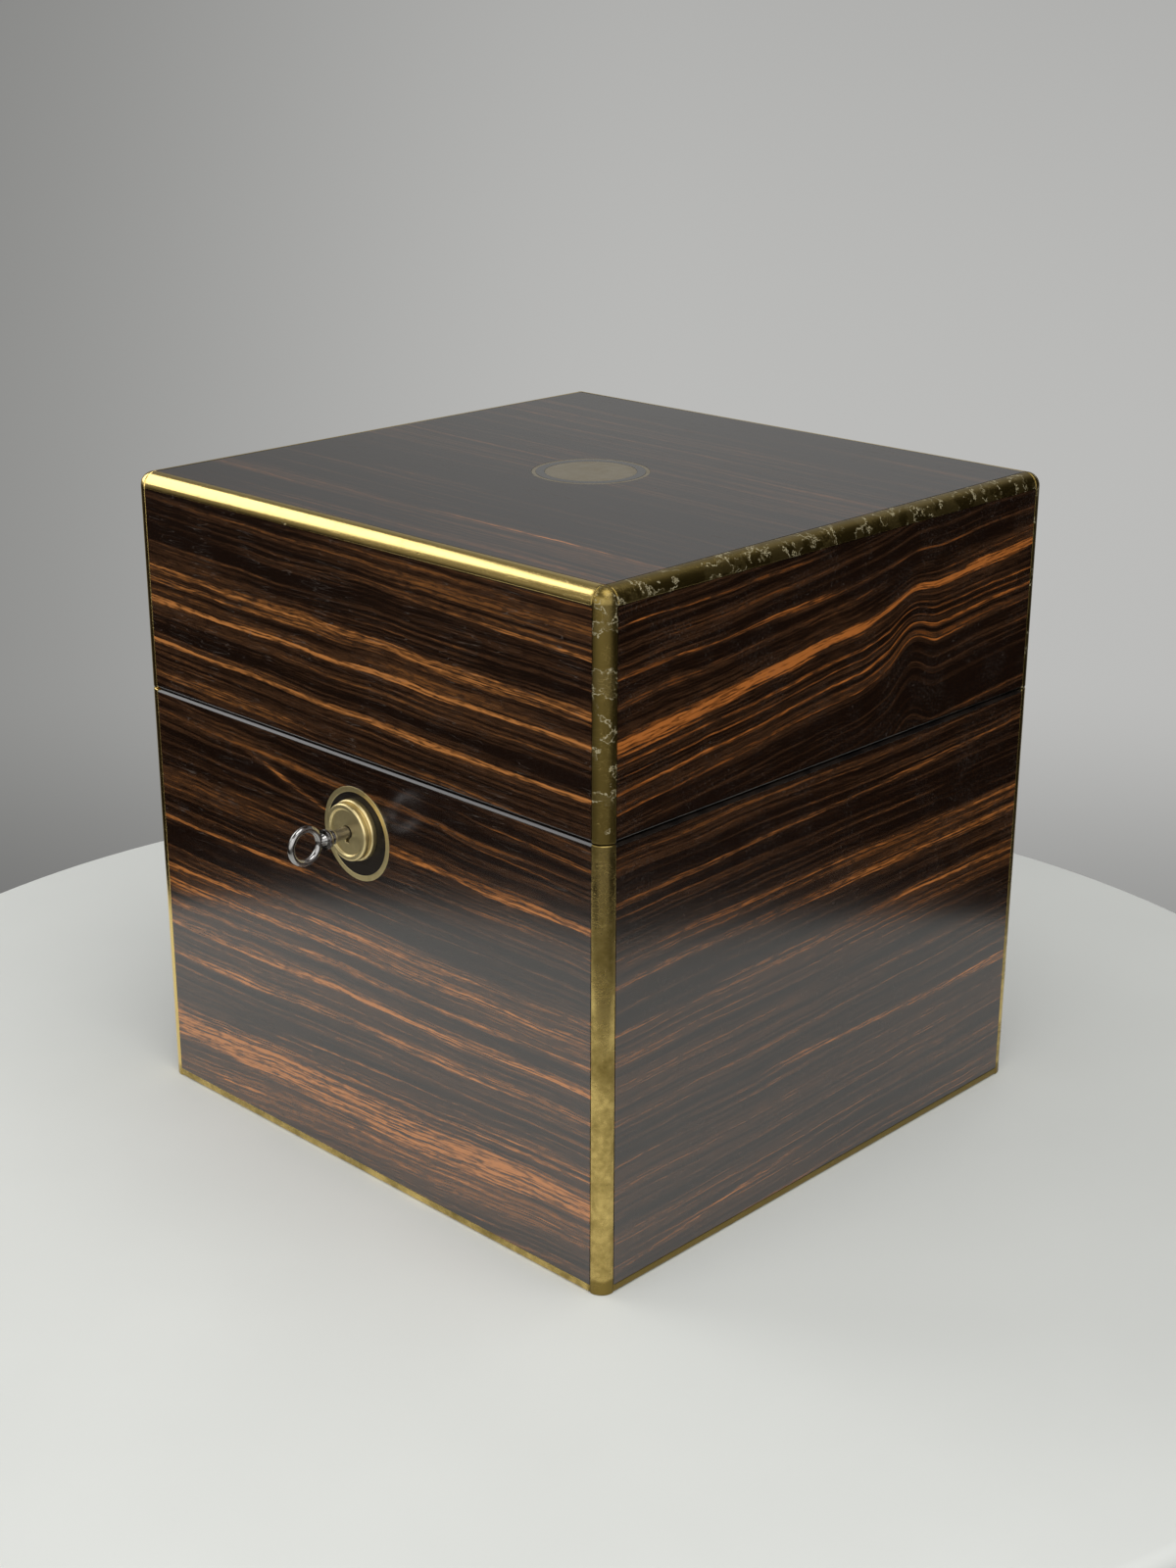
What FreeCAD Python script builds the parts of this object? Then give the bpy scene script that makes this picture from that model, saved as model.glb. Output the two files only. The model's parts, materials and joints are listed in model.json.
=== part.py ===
# A decanter box: veneered carcass, hinged lid, brass edges, a box lock with its key,
# and four square decanters standing in cells. Millimetres, front along -Y, base on Z = 0.
import FreeCAD, Part
import os
import re
import Sketcher
from FreeCAD import Rotation, Vector

# Driving sizes: name, millimetres (or degrees, or a count), what it measures.
SIZES = [
    # Carcass
    ("box_width", 224.0, "outside width, left to right"),
    ("box_depth", 220.0, "outside depth, front to back"),
    ("box_height", 230.0, "outside height, lid closed"),
    ("seam_height", 152.6, "height of the middle of the seam"),
    ("seam_gap", 0.4, "gap between the closed rims"),
    ("board", 11.0, "side boards of base and lid"),
    ("bottom_board", 9.0, "bottom board"),
    ("top_board", 9.0, "top board of the lid"),
    ("veneer", 1.2, "saw-cut veneer"),
    ("rim_facing", 1.0, "dark strip on each rim"),
    ("rim_flat", 0.2, "upright face left under the rim chamfer"),
    ("lining", 1.0, "velvet-covered lining card"),
    # Brass edges
    ("strip_leg", 5.4, "square side of an edge strip"),
    ("strip_flat", 0.6, "flat left beside the rounded nose"),
    ("foot_strip", 3.0, "height of the bottom strips"),
    ("foot_nose", 1.0, "rounding of the bottom strips"),
    # Plate on the lid
    ("plate_radius", 16.0, "round plate"),
    ("plate_ground_width", 3.0, "dark ring round the plate"),
    ("plate_ring_width", 1.5, "thin brass ring"),
    # Cells and decanters
    ("partition", 5.0, "thickness of the partition boards"),
    ("partition_height", 70.0, "height of the partition boards"),
    ("side_room", 4.15, "room left and right of a decanter in its cell"),
    ("end_room", 3.15, "room in front of and behind a decanter in its cell"),
    ("stopper_headroom", 20.8, "stoppers below the lid's lining"),
    ("decanter_cant", 9.0, "canted corner, along each face"),
    ("decanter_wall", 5.0, "glass at the sides"),
    ("decanter_base", 9.0, "glass at the bottom"),
    ("shoulder_rise", 22.0, "rise of the shoulder to the neck"),
    ("shoulder_fillet", 6.0, "curve between shoulder and neck"),
    ("neck_radius", 14.0, "outside of the neck"),
    ("neck_length", 16.0, "neck between shoulder and lip"),
    ("lip_overhang", 5.0, "lip beyond the neck"),
    ("lip_height", 4.0, "thickness of the lip"),
    ("mouth_radius", 8.8, "bore of the neck"),
    ("peg_clearance", 0.1, "stopper peg in the neck, on the radius"),
    ("peg_length", 14.0, "stopper peg below the lip"),
    ("stopper_collar", 12.0, "radius of the stopper's collar"),
    ("collar_height", 3.0, "thickness of the collar"),
    ("stopper_waist", 7.0, "radius between collar and head"),
    ("stopper_girdle", 15.5, "widest radius of the cut head"),
    ("stopper_table", 8.0, "radius of the flat on the head"),
    ("head_rise", 9.0, "head, from waist to girdle"),
    ("girdle_height", 5.0, "upright facets of the head"),
    ("crown_rise", 8.0, "head, from girdle to flat"),
    # Lock, outside
    ("ring_outer", 16.2, "brass ring let into the veneer"),
    ("ring_width", 2.0, "width of that ring"),
    ("ring_drop", 1.7, "ring centre below the key axis"),
    ("boss_base_radius", 10.4, "lower tier of the boss"),
    ("boss_base_height", 2.2, "height of the lower tier"),
    ("boss_groove", 0.5, "depth and width of the groove between the tiers"),
    ("boss_face_radius", 9.8, "upper tier of the boss"),
    ("boss_face_height", 2.1, "height of the upper tier"),
    ("boss_ease", 0.45, "eased edge of each tier"),
    ("boss_rim", 1.7, "raised rim round the face, with its eased edge"),
    ("boss_dish", 0.7, "face below its rim"),
    ("boss_dish_slope", 0.35, "slope between rim and face, across"),
    ("boss_wall", 1.6, "thickness of the boss in front of the barrel, at the rim"),
    ("boss_stem", 7.0, "radius of the stem through the board"),
    # Lock, inside
    ("plug_radius", 4.5, "barrel that the key turns"),
    ("plug_clearance", 0.05, "barrel in its bore, on the radius"),
    ("plug_end_play", 0.2, "barrel, along its axis"),
    ("cam_overhang", 2.0, "cam disc beyond the barrel"),
    ("cam_thickness", 1.6, "cam disc"),
    ("crank_radius", 4.5, "throw of the crank pin"),
    ("crank_pin", 1.2, "radius of the crank pin"),
    ("crank_clearance", 0.25, "crank pin in the bolt's fork, each side"),
    ("fork_prong", 2.0, "width of each prong of the fork"),
    ("bar_clearance", 2.0, "crank pin below the bolt's bar"),
    ("bolt_bar", 6.0, "height of the bolt's bar"),
    ("bolt_thickness", 2.4, "bolt, front to back"),
    ("bolt_end", 2.0, "metal past the slot at the bolt's end"),
    ("finger", 3.0, "height of the bolt's fingers"),
    ("finger_gap", 2.5, "fingers above the bar"),
    ("finger_short", 0.7, "drawn-back finger short of its staple"),
    ("finger_room", 2.9, "fingers below the selvedge"),
    ("bolt_post", 3.5, "width of the posts"),
    ("post_clearance", 0.3, "thrown post beside its staple"),
    ("post_end_gap", 1.1, "drawn-back post from the end of the case"),
    ("stump", 1.25, "radius of the fixed stumps"),
    ("stump_x", 10.0, "stumps from the key axis"),
    ("stump_clearance", 0.3, "stumps in the bolt's slots"),
    ("lock_wall", 1.5, "walls and back of the lock case"),
    ("lock_cap", 1.2, "front plate of the lock"),
    ("lock_room", 6.4, "depth inside the lock case"),
    ("bolt_setback", 2.3, "bolt behind the cap"),
    ("lock_skirt", 10.3, "lock case below the key axis"),
    ("selvedge", 2.0, "plate on the rim, and the link plate"),
    ("selvedge_ear", 6.0, "selvedge beyond each end of the case"),
    ("staple_x", 16.0, "staples from the key axis"),
    ("staple", 2.5, "staple, left to right"),
    ("staple_cheek", 0.95, "metal in front of and behind the eye"),
    ("staple_web", 0.6, "metal under the eye"),
    ("eye_clearance", 0.5, "finger in the staple's eye"),
    ("slot_clearance", 0.5, "staple in the selvedge's slot"),
    # Key
    ("key_shaft", 2.0, "radius of the shaft"),
    ("key_reach", 4.6, "shaft behind the front face"),
    ("key_tip_gap", 0.2, "shaft's end from the bottom of its socket"),
    ("keyhole_clearance", 0.3, "shaft and lug in the keyhole"),
    ("socket_clearance", 0.1, "shaft and lug in the barrel"),
    ("lug_width", 1.2, "lug on the shaft, across"),
    ("lug_reach", 3.4, "lug from the key axis"),
    ("lug_length", 2.6, "lug along the shaft"),
    ("lug_gap", 0.4, "lug behind the face of the boss"),
    ("shoulder_out", 9.9, "first collar from the front face"),
    ("small_collar", 2.5, "first collar of the key"),
    ("collar_width", 1.3, "each collar along the key"),
    ("collar_step", 1.2, "groove between the collars"),
    ("large_collar", 3.4, "second collar of the key"),
    ("bow_out", 21.5, "middle of the bow from the front face"),
    ("bow_radius", 5.7, "bow, to the middle of its wire"),
    ("bow_wire", 1.15, "radius of the bow's wire"),
    # Hinges
    ("hinge_x", 60.0, "middle of each hinge from the middle of the box"),
    ("hinge_length", 50.0, "length of a hinge"),
    ("hinge_leaf", 2.0, "thickness of a leaf"),
    ("hinge_cover", 1.0, "wood left inside the leaf"),
    ("barrel", 2.8, "radius of the knuckles"),
    ("barrel_gap", 0.35, "knuckles behind the back face"),
    ("hinge_pin", 1.3, "radius of the pin"),
    ("pin_clearance", 0.06, "pin in the lid's knuckles, on the radius"),
    ("knuckle_gap", 0.3, "between neighbouring knuckles"),
    ("lid_opening", 95.0, "degrees to the stop"),
    ("stop_gap", 0.2, "between the stops when open"),
    ("stop_clearance", 0.3, "stop bars outside the knuckles"),
    ("stop_width", 2.2, "stop bars, outwards"),
    ("stop_thickness", 1.8, "stop bars, across"),
    # Screws
    ("screw_head", 2.0, "radius of a countersunk head"),
    ("screw_shank", 1.0, "radius of a shank"),
    ("screw_length", 10.0, "length under a flush head"),
    ("hinge_screw_step", 18.0, "between the screws of a leaf"),
]

# Places and lengths that follow from the sizes.
PLACES = {
    "half_width": "box_width / 2",
    "half_depth": "box_depth / 2",
    "wall": "veneer + board",
    "inner_x": "half_width - wall",
    "inner_y": "half_depth - wall",
    "room_x": "inner_x - lining",
    "room_y": "inner_y - lining",
    "floor": "bottom_board + lining",
    "rim": "seam_height - seam_gap / 2",
    "lid_rim": "seam_height + seam_gap / 2",
    "rim_bed": "rim - rim_facing",
    "lid_rim_bed": "lid_rim + rim_facing",
    "top_strip_low": "box_height - strip_leg",
    "top_bed": "box_height - veneer",
    "ceiling": "top_bed - top_board",
    "lined_ceiling": "ceiling - lining",
    "plate_ground_radius": "plate_radius + plate_ground_width",
    "plate_ring_radius": "plate_ground_radius + plate_ring_width",
    # Cells
    "cell_x": "(room_x + partition / 2) / 2",
    "cell_y": "(room_y + partition / 2) / 2",
    "partition_half_height": "partition_height / 2",
    "decanter_half_x": "(room_x - partition / 2) / 2 - side_room",
    "decanter_half_y": "(room_y - partition / 2) / 2 - end_room",
    "decanter_reach": "decanter_half_x + decanter_half_y",
    "stopper_rise": "2 * collar_height + head_rise + girdle_height + crown_rise",
    "lip_top": "lined_ceiling - stopper_headroom - stopper_rise - floor",
    "lip_low": "lip_top - lip_height",
    "shoulder_top": "lip_low - neck_length",
    "shoulder_low": "shoulder_top - 2 * shoulder_rise",
    "inside_cant": "decanter_cant - decanter_wall / 2",
    "peg_radius": "mouth_radius - peg_clearance",
    # Lock, measured outwards from the front face
    "boss_face_low": "boss_base_height + boss_groove",
    "boss_height": "boss_face_low + boss_face_height",
    "bore_end": "boss_height - boss_wall",
    "plug_bore": "plug_radius + plug_clearance",
    "cap_out": "lock_wall + lock_room + lock_cap - wall",
    "cap_in": "cap_out - lock_cap",
    "bolt_out": "cap_in - bolt_setback",
    "cam_out": "cap_in - plug_end_play",
    "cam_in": "cam_out - cam_thickness",
    "plug_front": "bore_end - plug_end_play",
    "lug_front": "bore_end - lug_gap",
    # Lock, in the frame of the box
    "front_face": "-half_depth",
    "lock_back": "front_face + wall",
    "cap_front": "front_face - cap_out",
    "cap_back": "front_face - cap_in",
    "bolt_front": "front_face - bolt_out",
    "bolt_back": "bolt_front + bolt_thickness",
    "selvedge_low": "rim - selvedge",
    "finger_high": "selvedge_low - finger_room",
    "finger_low": "finger_high - finger",
    "bar_high": "finger_low - finger_gap",
    "bar_low": "bar_high - bolt_bar",
    "lock_axis": "bar_low - bar_clearance - crank_pin - crank_radius",
    "ring_axis": "lock_axis - ring_drop",
    "case_low": "lock_axis - lock_skirt",
    "bolt_throw": "crank_radius * sqrt(2)",
    "crank_x": "-crank_radius / sqrt(2)",
    "crank_rise": "crank_radius / sqrt(2)",
    "fork_half": "crank_pin + crank_clearance",
    "fork_low": "lock_axis + crank_rise - crank_pin / 2",
    "post_reach": "staple_x + staple / 2 + bolt_throw + post_clearance + bolt_post",
    "lock_half": "post_reach + post_end_gap + lock_wall",
    "selvedge_half": "lock_half + selvedge_ear",
    "eye_front": "bolt_front - eye_clearance",
    "eye_back": "bolt_back + eye_clearance",
    "staple_front": "eye_front - staple_cheek",
    "staple_back": "eye_back + staple_cheek",
    "eye_low": "finger_low - eye_clearance",
    "eye_high": "finger_high + eye_clearance",
    "staple_low": "eye_low - staple_web",
    "selvedge_middle": "(cap_front + lock_back) / 2",
    # Hinges
    "hinge_y": "half_depth + barrel_gap + barrel",
    "leaf_inside": "inner_y + hinge_cover",
    "leaf_middle": "(leaf_inside + half_depth) / 2",
    "knuckle": "(hinge_length - 4 * knuckle_gap) / 5",
    "stop_inner": "barrel + stop_clearance",
}
SIZE_NAMES = {row[0] for row in SIZES}

# Each side of the box: its turn from the front, half its length, its distance from the middle.
SIDES = {
    "front": (0, "half_width", "half_depth"),
    "right": (90, "half_depth", "half_width"),
    "back": (180, "half_width", "half_depth"),
    "left": (270, "half_depth", "half_width"),
}
# Each corner: its turn from the back right, and the sides of the middle that it lies on.
CORNERS = {
    "back_right": (0, 1, 1),
    "back_left": (90, -1, 1),
    "front_left": (180, -1, -1),
    "front_right": (270, 1, -1),
}
UP = Rotation()
FORWARD = Rotation(Vector(1, 0, 0), 90)
BACKWARD = Rotation(Vector(1, 0, 0), -90)
RIGHTWARD = Rotation(Vector(0, 1, 0), 90)
NEAR = 1e-4

doc = FreeCAD.newDocument("decanter_box")
sheet = doc.addObject("Spreadsheet::Sheet", "sizes")
nodes = []


def fill_sheet():
    """Write each driving size in its own named cell."""
    for row, (name, size, note) in enumerate(SIZES, start=1):
        sheet.set(f"A{row}", note)
        sheet.set(f"B{row}", str(size))
        sheet.setAlias(f"B{row}", name)
    doc.recompute()


def formula(text, **own):
    """Spell out the places in a formula and point each size at its cell."""
    def word(match):
        name = match.group(0)
        if name in own:
            return "(" + formula(own[name]) + ")"
        if name in PLACES:
            return "(" + formula(PLACES[name]) + ")"
        return "sizes." + name if name in SIZE_NAMES else name
    return re.sub(r"[a-z][a-z_]*", word, text)


def number(text, **own):
    """What a formula comes to now."""
    return float(sheet.evalExpression(formula(text, **own)))


def bind(item, **properties):
    """Tie properties of an object to formulas."""
    for name, text in properties.items():
        item.setExpression(name, formula(text))


def place(item, x="0", y="0", z="0", turn=UP):
    """Turn an object, then tie its place to formulas."""
    item.Placement = FreeCAD.Placement(Vector(), turn)
    for axis, text in zip("xyz", (x, y, z)):
        item.setExpression("Placement.Base." + axis, formula(text))
    return item


def node(item, name):
    """Name a finished sub-part, which is written to a file of that name."""
    item.Label = name
    nodes.append(item)
    return item


# Solids from primitives and booleans

def block(x0, x1, y0, y1, z0, z1):
    """A box between two places along each axis."""
    item = doc.addObject("Part::Box", "block")
    bind(item, Length=f"({x1}) - ({x0})", Width=f"({y1}) - ({y0})", Height=f"({z1}) - ({z0})")
    return place(item, x0, y0, z0)


def rod(radius, length, x="0", y="0", z="0", turn=UP):
    """A round bar that starts at a place and runs along the turned Z axis."""
    item = doc.addObject("Part::Cylinder", "rod")
    bind(item, Radius=radius, Height=length)
    return place(item, x, y, z, turn)


def cone(low, high, height, x, y, z):
    """A tapered round bar, upright."""
    item = doc.addObject("Part::Cone", "cone")
    bind(item, Radius1=low, Radius2=high, Height=height)
    return place(item, x, y, z)


def fused(*items):
    """One solid made of several."""
    item = doc.addObject("Part::MultiFuse", "fused")
    item.Shapes = list(items)
    item.Refine = True
    return item


def cut(base, *tools):
    """A solid with others taken out of it."""
    for tool in tools:
        item = doc.addObject("Part::Cut", "cut")
        item.Base = base
        item.Tool = tool
        base = item
    return base


def common(first, second):
    """What two solids share."""
    item = doc.addObject("Part::Common", "common")
    item.Base = first
    item.Tool = second
    return item


def group(*items):
    """Several separate solids in one sub-part."""
    item = doc.addObject("Part::Compound", "group")
    item.Links = list(items)
    return item


# Solids from sketches

def origin_feature(body, role):
    """A plane or an axis of a body's own origin."""
    return next(item for item in body.Origin.OriginFeatures if item.Role == role)


def outline(body, plane, points, lift="0", **own):
    """A closed sketch with straight sides, each corner tied to formulas."""
    sketch = body.newObject("Sketcher::SketchObject", "outline")
    sketch.AttachmentSupport = [(origin_feature(body, plane), "")]
    sketch.MapMode = "FlatFace"
    sketch.setExpression("AttachmentOffset.Base.z", formula(lift))
    corners = [Vector(number(x, **own), number(y, **own), 0) for x, y in points]
    following = corners[1:] + corners[:1]
    for start, end in zip(corners, following):
        sketch.addGeometry(Part.LineSegment(start, end))
    for line in range(len(points)):
        sketch.addConstraint(Sketcher.Constraint("Coincident", line, 2, (line + 1) % len(points), 1))
    for line, (x, y) in enumerate(points):
        for kind, text in (("DistanceX", x), ("DistanceY", y)):
            rule = Sketcher.Constraint(kind, -1, 1, line, 1, number(text, **own))
            index = sketch.addConstraint(rule)
            sketch.setExpression(f"Constraints[{index}]", formula(text, **own))
    return sketch


def padded(name, points, low, high, **own):
    """A body padded up from an outline in plan."""
    body = doc.addObject("PartDesign::Body", name)
    sketch = outline(body, "XY_Plane", points, low, **own)
    pad = body.newObject("PartDesign::Pad", "pad")
    pad.Profile = sketch
    bind(pad, Length=f"({high}) - ({low})")
    return body


def turned(name, points):
    """A body of revolution about its own Z axis, from points of radius and height."""
    body = doc.addObject("PartDesign::Body", name)
    sketch = outline(body, "XZ_Plane", points)
    revolution = body.newObject("PartDesign::Revolution", "revolution")
    revolution.Profile = sketch
    revolution.ReferenceAxis = (origin_feature(body, "Z_Axis"), [""])
    revolution.Angle = 360
    return body


def eased(body, kind, property_name, size, wanted):
    """A fillet or chamfer on the edges of a body that a test of their bounds picks."""
    doc.recompute()
    base = body.Tip
    edges = enumerate(base.Shape.Edges, start=1)
    names = [f"Edge{index}" for index, edge in edges if wanted(edge.BoundBox)]
    feature = body.newObject("PartDesign::" + kind, kind.lower())
    feature.Base = (base, names)
    feature.setExpression(property_name, formula(size))
    return body


def same(first, second):
    """Whether two lengths agree."""
    return abs(first - second) < NEAR


def level_edge(out, height):
    """A test for the edge that runs along a side's outer face at one height."""
    def wanted(box):
        at_face = same(box.YMin, -out) and same(box.YMax, -out)
        return at_face and same(box.ZMin, height) and same(box.ZMax, height)
    return wanted


# Carcass

def side(name, where, points, low, high):
    """A piece along one side: points are (along, outward) from the middle of the box."""
    turn, along, out = SIDES[where]
    plan = [(x, f"-({y})") for x, y in points]
    body = padded(name, plan, low, high, along=along, out=out)
    return place(body, turn=Rotation(Vector(0, 0, 1), turn))


def strip_plan(inside):
    """Plan of a piece between the corner strips, flush outside."""
    return [("strip_leg - along", "out"), ("along - strip_leg", "out"),
            ("along - strip_leg", inside), ("strip_leg - along", inside)]


def mitred_plan(outside):
    """Plan of a mitred piece that is notched for the corner strips."""
    return [("strip_leg - along", outside), ("along - strip_leg", outside),
            ("along - strip_leg", "out - strip_leg"), ("along - wall", "out - wall"),
            ("wall - along", "out - wall"), ("strip_leg - along", "out - strip_leg")]


def rim_facing(where, low, high, chamfered):
    """A dark mitred strip on a rim, chamfered on its outer edge."""
    facing = side("rim_facing_" + where, where, mitred_plan("out"), low, high)
    outer_edge = level_edge(number(SIDES[where][2]), number(chamfered))
    return eased(facing, "Chamfer", "Size", "rim_facing - rim_flat", outer_edge)


def edge_strip(where, low, high, nose_at, nose):
    """A brass strip along a side, between the corner strips, with its outer edge rounded."""
    strip = side("edge_strip_" + where, where, strip_plan("out - strip_leg"), low, high)
    nose_edge = level_edge(number(SIDES[where][2]), number(nose_at))
    return eased(strip, "Fillet", "Radius", nose, nose_edge)


def corner_strip(where, low, high, ball):
    """An upright brass strip at a corner; a ball end rounds its outer edges at the top too."""
    turn, right, back = CORNERS[where]
    square = [("-strip_leg", "-strip_leg"), ("0", "-strip_leg"), ("0", "0"), ("-strip_leg", "0")]
    strip = padded("corner_strip_" + where, square, low, high)
    top = number(high)

    def nose_edge(box):
        upright = same(box.XMin, 0) and same(box.YMin, 0) and box.ZLength > NEAR
        at_top = same(box.ZMin, top) and (same(box.XMin, 0) or same(box.YMin, 0))
        return upright or (ball and at_top)
    eased(strip, "Fillet", "Radius", "strip_leg - strip_flat", nose_edge)
    turn_about_z = Rotation(Vector(0, 0, 1), turn)
    return place(strip, f"{right} * half_width", f"{back} * half_depth", turn=turn_about_z)


def linings(low, high):
    """Four lining cards against the inner faces of the boards."""
    front = block("-inner_x", "inner_x", "-inner_y", "-room_y", low, high)
    back = block("-inner_x", "inner_x", "room_y", "inner_y", low, high)
    left = block("-inner_x", "-room_x", "-room_y", "room_y", low, high)
    right = block("room_x", "inner_x", "-room_y", "room_y", low, high)
    return group(front, back, left, right)


def base_carcass(lock_mortise, ring_hole, selvedge_seat, hinge_seats, screw_holes):
    """Boards, veneers, rim, brass and linings of the base."""
    bottom_strips = [edge_strip(where, "0", "foot_strip", "0", "foot_nose") for where in SIDES]
    cutters = {"front": [lock_mortise, selvedge_seat, screw_holes["lock"]],
               "back": [hinge_seats, screw_holes["hinge"]], "left": [], "right": []}
    facings = []
    for where, strip in zip(SIDES, bottom_strips):
        panel = side("board_" + where, where, mitred_plan("out - veneer"), "0", "rim_bed")
        node(cut(panel, strip, *cutters[where]), f"base_{where}_board")
        leaf_of_veneer = side("veneer_" + where, where, strip_plan("out - veneer"), "foot_strip", "rim_bed")
        holes = {"front": [ring_hole], "back": [hinge_seats]}.get(where, [])
        node(cut(leaf_of_veneer, *holes), f"base_{where}_veneer")
        facing = rim_facing(where, "rim_bed", "rim", "rim")
        seats = {"front": [selvedge_seat], "back": [hinge_seats]}.get(where, [])
        facings.append(cut(facing, *seats))
    node(group(*facings), "base_rim_facings")
    node(group(*bottom_strips), "bottom_edge_strips")
    strips = [corner_strip(where, "0", "rim", False) for where in CORNERS]
    node(group(*strips), "base_corner_strips")
    bottom = block("-inner_x", "inner_x", "-inner_y", "inner_y", "0", "bottom_board")
    node(bottom, "base_bottom_board")
    node(block("-inner_x", "inner_x", "-inner_y", "inner_y", "bottom_board", "floor"), "base_floor_lining")
    node(linings("floor", "rim_bed"), "base_wall_linings")


def lid_carcass(link_seat, hinge_seats, screw_holes):
    """Boards, veneers, rim, brass, plate and linings of the lid."""
    cutters = {"front": [link_seat, screw_holes["link"]],
               "back": [hinge_seats, screw_holes["hinge"]], "left": [], "right": []}
    facings = []
    for where in SIDES:
        panel = side("lid_board_" + where, where, mitred_plan("out - veneer"), "lid_rim_bed", "ceiling")
        node(cut(panel, *cutters[where]), f"lid_{where}_board")
        plan = strip_plan("out - veneer")
        leaf_of_veneer = side("lid_veneer_" + where, where, plan, "lid_rim_bed", "top_strip_low")
        holes = {"back": [hinge_seats]}.get(where, [])
        node(cut(leaf_of_veneer, *holes), f"lid_{where}_veneer")
        facing = rim_facing(where, "lid_rim", "lid_rim_bed", "lid_rim")
        seats = {"front": [link_seat], "back": [hinge_seats]}.get(where, [])
        facings.append(cut(facing, *seats))
    node(group(*facings), "lid_rim_facings")
    strips = [corner_strip(where, "lid_rim", "box_height", True) for where in CORNERS]
    node(group(*strips), "lid_corner_strips")
    strips = [edge_strip(where, "top_strip_low", "box_height", "box_height", "strip_leg - strip_flat")
              for where in SIDES]
    node(group(*strips), "lid_top_strips")
    lid_top()
    node(linings("lid_rim_bed", "lined_ceiling"), "lid_wall_linings")
    ceiling = block("-inner_x", "inner_x", "-inner_y", "inner_y", "lined_ceiling", "ceiling")
    node(ceiling, "lid_ceiling_lining")


def lid_top():
    """Top board, top veneer and the round plate let into it."""
    across, deep = "half_width - strip_leg", "half_depth - strip_leg"
    behind = ["ceiling", "top_strip_low"]
    wide = block("veneer - half_width", "half_width - veneer", f"-({deep})", deep, *behind)
    long = block(f"-({across})", across, "veneer - half_depth", "half_depth - veneer", *behind)
    raised = block(f"-({across})", across, f"-({deep})", deep, "top_strip_low", "top_bed")
    node(fused(wide, long, raised), "lid_top_board")
    sheet_of_veneer = block(f"-({across})", across, f"-({deep})", deep, "top_bed", "box_height")
    node(cut(sheet_of_veneer, rod("plate_ring_radius", "veneer", z="top_bed")), "lid_top_veneer")
    node(rod("plate_radius", "veneer", z="top_bed"), "top_plate")
    ground = rod("plate_ground_radius", "veneer", z="top_bed")
    node(cut(ground, rod("plate_radius", "veneer", z="top_bed")), "plate_ground")
    ring = rod("plate_ring_radius", "veneer", z="top_bed")
    node(cut(ring, rod("plate_ground_radius", "veneer", z="top_bed")), "plate_ring")


# Cells and decanters

def partitions():
    """Two boards halved over each other, standing on the floor lining."""
    half, top = "floor + partition_half_height", "floor + partition_height"
    crossing = ["-partition / 2", "partition / 2", "-partition / 2", "partition / 2"]
    long = block("-room_x", "room_x", "-partition / 2", "partition / 2", "floor", top)
    node(cut(long, block(*crossing, half, top)), "partition_long")
    across = block("-partition / 2", "partition / 2", "-room_y", "room_y", "floor", top)
    node(cut(across, block(*crossing, "floor", half)), "partition_cross")


def canted_plan(half_x, half_y, cant):
    """Plan of a decanter, four-sided with canted corners, counter-clockwise from the front."""
    x, y = f"({half_x})", f"({half_y})"
    near_x, near_y = f"({half_x} - {cant})", f"({half_y} - {cant})"
    return [(f"-{near_x}", f"-{y}"), (near_x, f"-{y}"), (x, f"-{near_y}"), (x, near_y),
            (near_x, y), (f"-{near_x}", y), (f"-{x}", near_y), (f"-{x}", f"-{near_y}")]


def decanter():
    """A square glass bottle with canted corners, sloping shoulder, neck and lip, standing on Z = 0."""
    plan = canted_plan("decanter_half_x", "decanter_half_y", "decanter_cant")
    prism = padded("decanter_prism", plan, "0", "lip_top")
    lip = "neck_radius + lip_overhang"
    profile = [("0", "0"), ("decanter_reach", "0"), ("decanter_reach", "shoulder_low"),
               ("neck_radius", "shoulder_top"), ("neck_radius", "lip_low"),
               (lip, "lip_low"), (lip, "lip_top"), ("0", "lip_top")]
    bottle = turned("decanter_bottle", profile)
    neck, height = number("neck_radius"), number("shoulder_top")

    def neck_edge(box):
        return same(box.ZMin, height) and same(box.ZMax, height) and same(box.XMax, neck)
    eased(bottle, "Fillet", "Radius", "shoulder_fillet", neck_edge)
    inside = ["decanter_half_x - decanter_wall", "decanter_half_y - decanter_wall"]
    inner_plan = canted_plan(*inside, "inside_cant")
    inner_prism = padded("decanter_inner_prism", inner_plan, "0", "lip_top")
    inner_profile = [("0", "decanter_base"), ("decanter_reach", "decanter_base"),
                     ("decanter_reach", "shoulder_low - decanter_wall"),
                     ("mouth_radius", "shoulder_top - decanter_wall"), ("mouth_radius", "lip_top"),
                     ("0", "lip_top")]
    hollow = common(inner_prism, turned("decanter_hollow", inner_profile))
    return cut(common(prism, bottle), hollow)


def octagon(radius, height):
    """A level octagon, a section of a cut stopper head."""
    item = doc.addObject("Part::RegularPolygon", "octagon")
    item.Polygon = 8
    bind(item, Circumradius=radius)
    return place(item, z=height)


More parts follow.
